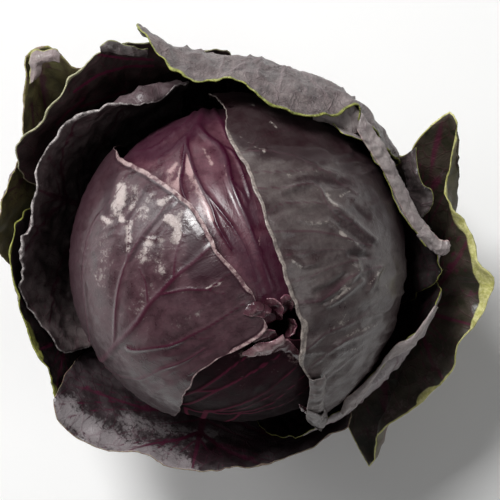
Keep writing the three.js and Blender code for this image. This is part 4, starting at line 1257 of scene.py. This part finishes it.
def build_stalk():
    """The cut stalk: its skin, the growth rings of the cut face and a lid under the leaves."""
    skin = stalk_skin()
    shares = np.linspace(1, 0, CUT_RINGS + 1)[1:-1]
    base = skin[:STALK_SIDES]
    lid = skin[-STALK_SIDES:]
    cut, top = [], []
    for share in shares:
        ring = base * share
        ring[:, 2] = 0.25 * (1 - np.cos(share * 22)) * smoothstep((1 - share) * 8)
        cut.append(ring)
        cap = lid * [share, share, 1]
        cap[:, 2] += 0.3 * (1 - share**2)
        top.append(cap)
    points = np.vstack([skin, *cut, [[0, 0, 0.3]], *top, [[0, 0, lid[0, 2] + 0.3]]])
    ids = np.arange(len(skin)).reshape(-1, STALK_SIDES)
    disc_ids = np.arange(len(shares) * STALK_SIDES).reshape(-1, STALK_SIDES)
    cut_ids = len(skin) + disc_ids
    cut_middle = cut_ids[-1, -1] + 1
    top_ids = cut_middle + 1 + disc_ids
    top_middle = top_ids[-1, -1] + 1
    quads = ring_quads(np.vstack([cut_ids[::-1], ids, top_ids]))[:, OTHER_WAY]
    caps = np.vstack([
        np.stack([np.full(STALK_SIDES, cut_middle), np.roll(cut_ids[-1], -1), cut_ids[-1]], 1),
        np.stack([np.full(STALK_SIDES, top_middle), top_ids[-1], np.roll(top_ids[-1], -1)], 1),
    ])
    stalk = make_mesh("stalk_stump", points, [quads, caps])
    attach(stalk, "root")
    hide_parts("stalk")
    return stalk


def srgb(red, green, blue):
    """A colour by its screen values from 0 to 255."""
    parts = [c / 255 for c in (red, green, blue)]
    return (*(c / 12.92 if c <= 0.04045 else ((c + 0.055) / 1.055) ** 2.4 for c in parts), 1.0)


LEAST_RIM = 0.05


class Graph:
    """A material's nodes, built one value at a time. A value is a number, a colour or a socket."""

    def __init__(self, name):
        self.material = bpy.data.materials.new(name)
        self.material.use_nodes = True
        self.tree = self.material.node_tree
        self.shader = self.tree.nodes["Principled BSDF"]
        coordinates = self.tree.nodes.new("ShaderNodeTexCoord")
        self.place = coordinates.outputs["Object"]

    def put(self, socket, value):
        if isinstance(value, bpy.types.NodeSocket):
            self.tree.links.new(value, socket)
        else:
            socket.default_value = value

    def attribute(self, name):
        node = self.tree.nodes.new("ShaderNodeAttribute")
        node.attribute_name = name
        return node.outputs["Fac"]

    def flat(self):
        node = self.tree.nodes.new("ShaderNodeUVMap")
        node.uv_map = "leaf"
        return node.outputs["UV"]

    def math(self, operation, a, b=0.0, clamp=False):
        node = self.tree.nodes.new("ShaderNodeMath")
        node.operation = operation
        node.use_clamp = clamp
        self.put(node.inputs[0], a)
        self.put(node.inputs[1], b)
        return node.outputs[0]

    def plus(self, a, b, clamp=False):
        return self.math("ADD", a, b, clamp)

    def minus(self, a, b):
        return self.math("SUBTRACT", a, b)

    def times(self, a, b, clamp=False):
        return self.math("MULTIPLY", a, b, clamp)

    def less(self, value, share):
        """The value without that share of it."""
        return self.times(value, self.minus(1.0, share))

    def between(self, value, low, high):
        """0 at low, 1 at high, and smooth between them."""
        node = self.tree.nodes.new("ShaderNodeMapRange")
        node.interpolation_type = "SMOOTHSTEP"
        self.put(node.inputs["Value"], value)
        node.inputs["From Min"].default_value = low
        node.inputs["From Max"].default_value = high
        return node.outputs["Result"]

    def mix(self, share, a, b):
        node = self.tree.nodes.new("ShaderNodeMix")
        node.data_type = "RGBA"
        self.put(node.inputs["Factor"], share)
        self.put(node.inputs[6], a)
        self.put(node.inputs[7], b)
        return node.outputs[2]

    def band(self, value, width, start, end):
        """1 where the value is under start widths, 0 where it is over end widths."""
        share = self.math("DIVIDE", value, self.math("MAXIMUM", width, LEAST_RIM))
        return self.between(share, end, start)

    def noise_node(self, scale, detail, roughness, where=None, shift=(0, 0, 0), stretch=(1, 1, 1)):
        mapping = self.tree.nodes.new("ShaderNodeMapping")
        self.put(mapping.inputs["Vector"], self.place if where is None else where)
        mapping.inputs["Location"].default_value = shift
        mapping.inputs["Scale"].default_value = stretch
        node = self.tree.nodes.new("ShaderNodeTexNoise")
        self.put(node.inputs["Vector"], mapping.outputs["Vector"])
        node.inputs["Scale"].default_value = scale
        node.inputs["Detail"].default_value = detail
        node.inputs["Roughness"].default_value = roughness
        return node

    def noise(self, *settings, **more):
        """A noise from 0 to 1: its scale, detail and roughness, and where it is read."""
        return self.noise_node(*settings, **more).outputs["Fac"]

    def warped(self, where, scale, amount):
        """The coordinates, pushed about by a noise."""
        node = self.noise_node(scale, 2.0, 0.5, where)
        add = self.tree.nodes.new("ShaderNodeVectorMath")
        add.operation = "MULTIPLY_ADD"
        self.put(add.inputs[0], node.outputs["Color"])
        add.inputs[1].default_value = (amount, amount, amount)
        self.put(add.inputs[2], where)
        return add.outputs["Vector"]

    def cell_edges(self, where, scale):
        """Distance to the nearest edge of a net of cells."""
        node = self.tree.nodes.new("ShaderNodeTexVoronoi")
        node.feature = "DISTANCE_TO_EDGE"
        self.put(node.inputs["Vector"], where)
        node.inputs["Scale"].default_value = scale
        return node.outputs["Distance"]

    def bump(self, height, strength, distance):
        node = self.tree.nodes.new("ShaderNodeBump")
        node.inputs["Strength"].default_value = strength
        node.inputs["Distance"].default_value = distance
        self.put(node.inputs["Height"], height)
        self.put(self.shader.inputs["Normal"], node.outputs["Normal"])


# The looks of the leaves. Pairs of colours are the darkest and the palest of a mottled surface.
# "outer" and "inner" are the two faces and "bloom" is their wax. The wet colour is a painted sheen
# of their gloss, the bare colour is leaf without wax and also painted shade, the band behind the rim
# is a painted shadow under the lip, and "net" is how much the net of the finest veins shows.
PLAIN_LOOK = {
    "outer": (srgb(58, 40, 44), srgb(96, 78, 82)), "inner": (srgb(22, 18, 17), srgb(42, 34, 34)),
    "bloom": srgb(150, 140, 142), "outer_bloom": 0.55, "inner_bloom": 0.05,
    "outer_vein": srgb(104, 76, 86), "inner_vein": srgb(86, 24, 52), "vein_show": 0.75,
    "painted_sheen": srgb(160, 148, 148), "bare": srgb(24, 13, 17),
    "rim": (srgb(120, 124, 60), srgb(170, 172, 88)), "shadow_behind_rim": 0.0, "grooves": 26,
    "rough": (0.34, 0.6), "coat": 0.12, "net": 0.35, "bump": 0.5, "streaks": 0.2, "shine": 0.4,
}
LOOKS = {
    "head_leaf_left": {
        "outer": (srgb(44, 17, 26), srgb(76, 42, 52)), "bloom": srgb(106, 88, 92),
        "outer_bloom": 0.45, "outer_vein": srgb(66, 16, 38), "vein_show": 0.9,
        "painted_sheen": srgb(196, 182, 178), "bare": srgb(44, 13, 26), "shadow_behind_rim": 0.85,
        "rim": (srgb(104, 74, 80), srgb(182, 158, 156)),
        "rough": (0.2, 0.42), "coat": 0.35, "net": 0.12, "streaks": 0.25,
    },
    "head_leaf_top": {
        "outer": (srgb(62, 22, 37), srgb(98, 54, 67)), "bloom": srgb(128, 98, 105),
        "outer_bloom": 0.3, "outer_vein": srgb(58, 8, 34), "vein_show": 1.0,
        "painted_sheen": srgb(184, 152, 152), "bare": srgb(54, 6, 32),
        "rim": (srgb(84, 40, 52), srgb(110, 60, 72)),
        "rough": (0.22, 0.42), "coat": 0.25, "net": 0.1,
    },
    "head_leaf_right": {
        "outer": (srgb(50, 32, 36), srgb(80, 68, 69)), "bloom": srgb(112, 104, 101),
        "outer_bloom": 0.85, "outer_vein": srgb(76, 44, 54), "vein_show": 0.55,
        "painted_sheen": srgb(180, 170, 163), "bare": srgb(38, 14, 21),
        "rim": (srgb(120, 110, 106), srgb(178, 166, 158)),
        "rough": (0.24, 0.46), "coat": 0.4, "net": 0.12, "streaks": 0.4, "grooves": 15, "bump": 0.7,
    },
    # The bottom head leaf's own deep purple, darkened further with painted shade, as the key light
    # comes from the other side of the head
    "head_leaf_bottom": {
        "outer": (srgb(28, 13, 18), srgb(46, 22, 30)), "bloom": srgb(56, 36, 42), "shine": 0.05,
        "outer_bloom": 0.12, "outer_vein": srgb(92, 28, 52), "vein_show": 0.95,
        "painted_sheen": srgb(170, 144, 142), "bare": srgb(16, 9, 11),
        "rim": (srgb(60, 30, 40), srgb(90, 50, 60)),
        "rough": (0.45, 0.6), "coat": 0.03, "net": 0.08,
    },
    "outer_leaf_top": {
        "outer": (srgb(62, 50, 52), srgb(112, 100, 100)), "bloom": srgb(172, 160, 158),
        "outer_bloom": 0.6, "outer_vein": srgb(136, 120, 122), "vein_show": 0.5, "net": 0.5,
        "painted_sheen": srgb(186, 174, 170), "bare": srgb(62, 48, 50), "bump": 1.0, "streaks": 0.7,
        "rim": (srgb(118, 124, 58), srgb(166, 168, 88)),
    },
    "outer_leaf_right_top": {
        "outer": (srgb(138, 128, 128), srgb(170, 160, 160)), "bloom": srgb(188, 180, 178),
        "outer_bloom": 0.7,
    },
    "outer_leaf_right_bottom": {
        "outer": (srgb(112, 104, 106), srgb(150, 142, 144)), "bloom": srgb(168, 160, 160),
        "outer_bloom": 0.7,
    },
    "outer_leaf_left": {
        "inner": (srgb(70, 60, 60), srgb(122, 108, 108)), "inner_bloom": 0.25,
        "painted_sheen": srgb(180, 170, 168),
        "rim": (srgb(84, 76, 76), srgb(200, 192, 190)), "streaks": 0.4,
    },
    "outer_leaf_bottom": {
        "inner": (srgb(30, 18, 22), srgb(58, 46, 50)), "inner_bloom": 0.2, "bare": srgb(40, 12, 24),
        "painted_sheen": srgb(148, 140, 142), "rim": (srgb(130, 100, 96), srgb(160, 150, 120)),
    },
    "outer_leaf_right": {
        "inner": (srgb(40, 40, 26), srgb(68, 58, 48)),
        "rim": (srgb(186, 184, 108), srgb(220, 216, 152)),
        "outer": (srgb(72, 70, 48), srgb(102, 98, 68)), "outer_bloom": 0.3,
        "outer_vein": srgb(110, 70, 80), "painted_sheen": srgb(120, 104, 104),
    },
    "outer_leaf_far_left": {
        "inner": (srgb(88, 88, 56), srgb(134, 130, 84)), "inner_vein": srgb(96, 44, 74),
        "rim": (srgb(150, 130, 120), srgb(160, 160, 90)),
    },
    "outer_leaf_left_top": {
        "inner": (srgb(58, 48, 46), srgb(98, 82, 80)), "inner_vein": srgb(128, 36, 78),
        "vein_show": 0.9, "rim": (srgb(150, 150, 120), srgb(190, 186, 150)),
    },
}
CROWN = {
    "outer": (srgb(50, 16, 28), srgb(86, 44, 56)), "bloom": srgb(110, 84, 90), "outer_bloom": 0.2,
    "painted_sheen": srgb(164, 132, 134), "rim": (srgb(96, 40, 62), srgb(150, 112, 118)),
    "rough": (0.2, 0.4), "coat": 0.45, "net": 0.05,
}
FOLD_LOOKS = {
    "crown": CROWN,
    # A paler copy of the crown's look: a painted wet highlight on the crumple below the knot
    "highlit_crown": {
        **CROWN, "outer": (srgb(96, 56, 66), srgb(170, 140, 142)), "painted_sheen": srgb(206, 186, 184),
    },
    "tail": {
        "outer": (srgb(74, 66, 66), srgb(104, 96, 95)), "bloom": srgb(130, 122, 120),
        "painted_sheen": srgb(160, 152, 148), "rim": (srgb(100, 92, 90), srgb(140, 130, 128)),
        "rough": (0.3, 0.5), "net": 0.05,
    },
    "grey": {
        "outer": (srgb(128, 118, 118), srgb(162, 152, 150)), "bloom": srgb(178, 168, 166),
        "painted_sheen": srgb(186, 178, 176), "rim": (srgb(160, 132, 132), srgb(180, 170, 160)),
    },
    "brown": {
        "outer": (srgb(28, 23, 22), srgb(64, 55, 54)), "outer_bloom": 0.1, "painted_sheen": srgb(112, 103, 102),
        "rim": (srgb(110, 112, 60), srgb(150, 150, 90)),
    },
    "pink": {
        "outer": (srgb(118, 104, 104), srgb(168, 152, 150)), "painted_sheen": srgb(200, 188, 184),
        "rim": (srgb(150, 150, 90), srgb(170, 166, 110)),
    },
}


# Scale, detail and roughness of the noises that the skins are made from
PATCHES = (110, 4, 0.6)
PATCH_SHIFT = (0.3, 0.1, 0)
STREAKS = (420, 3, 0.65)
CLOUDS = (28, 4, 0.6)
GRAIN = (1300, 2, 0.6)
GROOVE_STRETCH = (0.22, 1, 1)
# Nets of the finest veins: their cells, and the scale and size of what pushes them about
NET = {"cells": 15, "warp": (9, 0.05), "width": 0.07}
FINE_NET = {"cells": 46, "warp": (30, 0.012), "width": 0.1}
MOTTLED = (0.3, 0.7)  # of a noise, where a mottled surface goes from dark to pale
BUMP_HEIGHT = 0.0006
COAT_ROUGHNESS = 0.14
DARK_SPECK = srgb(20, 14, 16)


def net_of_veins(g, flat, net):
    """1 on the lines of a net and 0 in its cells."""
    edges = g.cell_edges(g.warped(flat, *net["warp"]), net["cells"])
    return g.between(edges, net["width"], 0.0)


def skin_patterns(g, look):
    """What a skin is made from: the values painted on the mesh, and noises and nets."""
    flat = g.flat()
    names = ("vein", "edge", "inside", "rim", "pale", "dark", "deep")
    patch = g.noise(*PATCHES, shift=PATCH_SHIFT)
    return SimpleNamespace(
        **{name: g.attribute(name) for name in names},
        patch=patch,
        wobble=g.times(g.minus(patch, 0.5), 1.5),
        streak=g.noise(*STREAKS),
        wide=g.noise(*CLOUDS),
        grain=g.noise(*GRAIN),
        grooves=g.noise(look["grooves"], 3, 0.6, flat, stretch=GROOVE_STRETCH),
        net=net_of_veins(g, flat, NET),
        fine=net_of_veins(g, flat, FINE_NET),
    )


def waxy_bloom(g, look, skin):
    """Share of wax over the flesh, in clouds that the nets and the grooves break up."""
    share = g.math("MULTIPLY_ADD", skin.inside, look["inner_bloom"] - look["outer_bloom"])
    share.node.inputs[2].default_value = look["outer_bloom"]
    cloud = g.minus(g.plus(g.times(skin.wide, 1.5), g.times(skin.patch, 1.1)), 0.8)
    bloom = g.times(share, cloud, clamp=True)
    bloom = g.less(bloom, g.times(skin.net, look["net"]))
    bloom = g.less(bloom, g.times(skin.fine, look["net"]))
    return g.less(bloom, g.times(g.between(skin.grooves, 0.6, 0.38), look["streaks"]))


def painted_sheen_share(g, skin, vein_share):
    """Share of painted sheen of the wet gloss, which leaves out veins, bare leaf and painted shade."""
    painted_sheen = g.plus(g.plus(skin.pale, skin.wobble), g.times(g.minus(skin.streak, 0.5), 2.2))
    painted_sheen = g.minus(painted_sheen, g.times(vein_share, 0.7))
    painted_sheen = g.minus(painted_sheen, g.times(skin.fine, 0.3))
    painted_sheen = g.minus(painted_sheen, g.times(skin.dark, 0.8))
    return g.between(painted_sheen, 0.35, 1.0)


def rimmed(g, look, skin, colour):
    """The colour with the leaf's rim, and for some leaves with a band of painted shadow behind it,
    under the lip.
    """
    jagged = g.plus(skin.edge, g.times(skin.wobble, g.times(skin.rim, 0.5)))
    if look["shadow_behind_rim"]:
        shadow = g.times(g.band(jagged, skin.rim, 1.7, 2.6), look["shadow_behind_rim"])
        shadow = g.times(shadow, g.between(skin.rim, 0.3, 0.8))
        colour = g.mix(shadow, colour, look["bare"])
    rim_colour = g.mix(g.between(skin.streak, 0.35, 0.65), *look["rim"])
    return g.mix(g.band(jagged, skin.rim, 0.75, 1.25), colour, rim_colour)


def skin_colour(g, look, skin, bloom, bare):
    """The leaf's colour with its painted shade and painted sheen, and the share of it that has painted
    sheen.
    """
    outer = g.mix(g.between(skin.patch, *MOTTLED), *look["outer"])
    inner = g.mix(g.between(skin.patch, 0.35, 0.7), *look["inner"])
    colour = g.mix(bloom, g.mix(skin.inside, outer, inner), look["bloom"])
    # Bare leaf without wax, and painted shade where the dark marks and the flanks' shade are
    colour = g.mix(g.times(bare, 0.85), colour, look["bare"])
    vein_colour = g.mix(skin.inside, look["outer_vein"], look["inner_vein"])
    vein_share = g.times(g.between(skin.vein, 0.3, 0.8), look["vein_show"])
    painted_sheen = painted_sheen_share(g, skin, vein_share)
    # The painted sheen's colour, from half of it up to all of it where the pale marks are strong
    dim = tuple(0.5 * value for value in look["painted_sheen"])
    painted_gloss = g.mix(g.between(g.plus(skin.pale, skin.wobble), 0.4, 1.3), dim, look["painted_sheen"])
    colour = g.mix(g.times(painted_sheen, 0.85), colour, painted_gloss)
    colour = g.mix(vein_share, colour, vein_colour)
    colour = g.mix(g.times(skin.net, look["net"] * 0.6), colour, vein_colour)
    colour = rimmed(g, look, skin, colour)
    speckle = g.times(g.between(skin.grain, 0.35, 0.75), 0.18)
    return g.mix(speckle, colour, DARK_SPECK), painted_sheen


def skin_roughness(g, look, skin, bloom, bare, painted_sheen):
    low, high = look["rough"]
    rough = g.plus(g.times(g.between(skin.patch, *MOTTLED), high - low), low)
    rough = g.plus(rough, g.times(bloom, 0.18))
    rough = g.minus(rough, g.times(painted_sheen, 0.12))
    rough = g.plus(rough, g.times(bare, 0.12))
    return g.plus(rough, g.times(skin.deep, 0.25), clamp=True)


def skin_height(g, look, skin):
    """Height of the small relief: nets, grooves and grain."""
    height = g.times(skin.net, 0.9 * look["net"])
    height = g.plus(height, g.times(skin.fine, 0.5 * look["net"]))
    height = g.plus(height, g.times(skin.grooves, 2.5 * look["streaks"]))
    height = g.plus(height, g.times(skin.patch, 0.9))
    return g.plus(height, g.times(skin.grain, 0.12))


def leaf_material(name, changes):
    """Flesh under a waxy bloom, veins, a fine net between them, and a thin coloured rim."""
    look = {**PLAIN_LOOK, **changes}
    g = Graph(name)
    skin = skin_patterns(g, look)
    bloom = waxy_bloom(g, look, skin)
    uneven = g.plus(skin.wobble, g.minus(skin.streak, 0.5))
    # Share of bare leaf and of painted shade
    bare = g.between(g.plus(skin.dark, uneven), 0.15, 1.0)
    colour, painted_sheen = skin_colour(g, look, skin, bloom, bare)
    shine = g.less(g.minus(1.0, g.times(skin.deep, 0.9)), g.times(bare, 0.6))
    g.put(g.shader.inputs["Base Color"], colour)
    g.put(g.shader.inputs["Roughness"], skin_roughness(g, look, skin, bloom, bare, painted_sheen))
    g.put(g.shader.inputs["Coat Weight"], g.times(shine, look["coat"]))
    g.shader.inputs["Specular IOR Level"].default_value = look["shine"]
    g.shader.inputs["Coat Roughness"].default_value = COAT_ROUGHNESS
    g.bump(skin_height(g, look, skin), look["bump"], BUMP_HEIGHT)
    return g.material


def heart_material():
    """Dark magenta flesh, with painted shade in the creases and a painted shadow, near black, in the
    hollow.
    """
    g = Graph("heart_flesh")
    patch = g.noise(120, 4, 0.6)
    colour = g.mix(g.between(patch, *MOTTLED), srgb(44, 10, 26), srgb(84, 24, 50))
    # Painted shade in the creases between the folds
    crease = g.between(g.attribute("fold"), 0.35, -0.1)
    colour = g.mix(g.times(crease, 0.5), colour, srgb(20, 6, 12))
    # A painted shadow, near black, in the hollow
    hollow_shadow = g.between(g.attribute("depth"), 1.0, 7.0)
    colour = g.mix(hollow_shadow, colour, srgb(8, 5, 5))
    g.put(g.shader.inputs["Base Color"], colour)
    g.put(g.shader.inputs["Roughness"], g.plus(g.times(patch, 0.3), 0.25))
    g.shader.inputs["Coat Weight"].default_value = 0.2
    g.bump(patch, 0.4, 0.0005)
    return g.material


def stalk_material():
    """Pale woody flesh with rings on the cut face, and a duller purple-tinged skin."""
    g = Graph("stalk_wood")
    split = g.tree.nodes.new("ShaderNodeSeparateXYZ")
    g.put(split.inputs[0], g.place)
    x, y, z = split.outputs
    out = g.math("SQRT", g.plus(g.times(x, x), g.times(y, y)))
    patch = g.noise(160, 4, 0.6)
    fibre = g.noise(700, 3, 0.6)
    pith = g.mix(g.between(out, 0.004, 0.012), srgb(214, 208, 178), srgb(190, 184, 146))
    wobble = g.plus(g.times(out, 1150), g.times(patch, 5))
    rings = g.between(g.math("SINE", wobble), 0.2, 1.0)
    pith = g.mix(g.times(rings, 0.3), pith, srgb(150, 140, 100))
    pith = g.mix(g.between(out, 0.0125, 0.0155), pith, srgb(118, 92, 96))
    skin = g.mix(g.between(patch, *MOTTLED), srgb(128, 112, 104), srgb(164, 152, 128))
    skin = g.mix(g.times(fibre, 0.4), skin, srgb(96, 62, 76))
    g.put(g.shader.inputs["Base Color"], g.mix(g.between(z, 0.0003, 0.0012), pith, skin))
    g.put(g.shader.inputs["Roughness"], g.plus(g.times(patch, 0.25), 0.5))
    height = g.plus(g.times(fibre, 0.5), g.times(patch, 0.5))
    g.bump(height, 0.5, BUMP_HEIGHT)
    return g.material


# Name of each light, its direction from the head, and its distance, size and power
LIGHTS = [
    ("key", (-0.38, 0.55, 0.78), 2.6, 0.9, 68),
    ("sheen", (-0.85, 0.41, 0.36), 1.4, 0.55, 4.5),
    ("fill", (0.6, -0.3, 0.8), 2.6, 1.4, 8),
]
SKY_STRENGTH = 0.12
FLOOR_HALF = 6000.0
FLOOR_DROP = 0.1  # keeps the floor just under the cut face


def area_light(name, direction, distance, size, power):
    """A soft square light that shines on the head's centre from that direction."""
    data = bpy.data.lights.new(name, "AREA")
    data.size = size
    data.energy = power
    lamp = bpy.data.objects.new(name, data)
    way = Vector(direction).normalized()
    lamp.location = Vector((0, 0, HEAD_HEIGHT * MM)) + way * distance
    lamp.rotation_euler = way.to_track_quat("Z", "Y").to_euler()
    bpy.context.scene.collection.objects.link(lamp)


def build_floor():
    """A plain pale floor."""
    corners = np.array([(-1, -1, 0), (1, -1, 0), (1, 1, 0), (-1, 1, 0)]) * FLOOR_HALF
    floor = make_mesh("floor", corners, [np.array([[0, 1, 2, 3]])])
    floor.location.z = -FLOOR_DROP * MM
    g = Graph("floor_paper")
    tone = g.noise(3, 2, 0.5)
    g.put(g.shader.inputs["Base Color"], g.mix(tone, srgb(250, 250, 249), srgb(253, 253, 252)))
    g.shader.inputs["Roughness"].default_value = 0.9
    floor.data.materials.append(g.material)


def build_stage():
    """The floor, soft lights, and a camera that looks straight down."""
    build_floor()
    bpy.context.scene.view_settings.view_transform = "Standard"
    for light in LIGHTS:
        area_light(*light)
    world = bpy.data.worlds.new("studio")
    world.use_nodes = True
    background = world.node_tree.nodes["Background"]
    background.inputs["Color"].default_value = (1, 1, 1, 1)
    background.inputs["Strength"].default_value = SKY_STRENGTH
    bpy.context.scene.world = world

    data = bpy.data.cameras.new("camera")
    data.sensor_width = SENSOR
    data.lens = LENS
    camera = bpy.data.objects.new("camera", data)
    camera.location = (CAMERA_X * MM, CAMERA_Y * MM, CAMERA_HEIGHT * MM)
    bpy.context.scene.collection.objects.link(camera)
    bpy.context.scene.camera = camera


for number, leaf in enumerate(HEAD_LEAVES + OUTER_LEAVES):
    blade = build_leaf(leaf, 100 + number)
    blade.data.materials.append(leaf_material(leaf["name"] + "_skin", LOOKS.get(leaf["name"], {})))
build_heart().data.materials.append(heart_material())
fold_skins = {}
for look, changes in FOLD_LOOKS.items():
    fold_skins[look] = leaf_material(look + "_fold_skin", changes)
for fold in FOLDS:
    build_fold(fold).data.materials.append(fold_skins[fold["look"]])
build_stalk().data.materials.append(stalk_material())
build_stage()
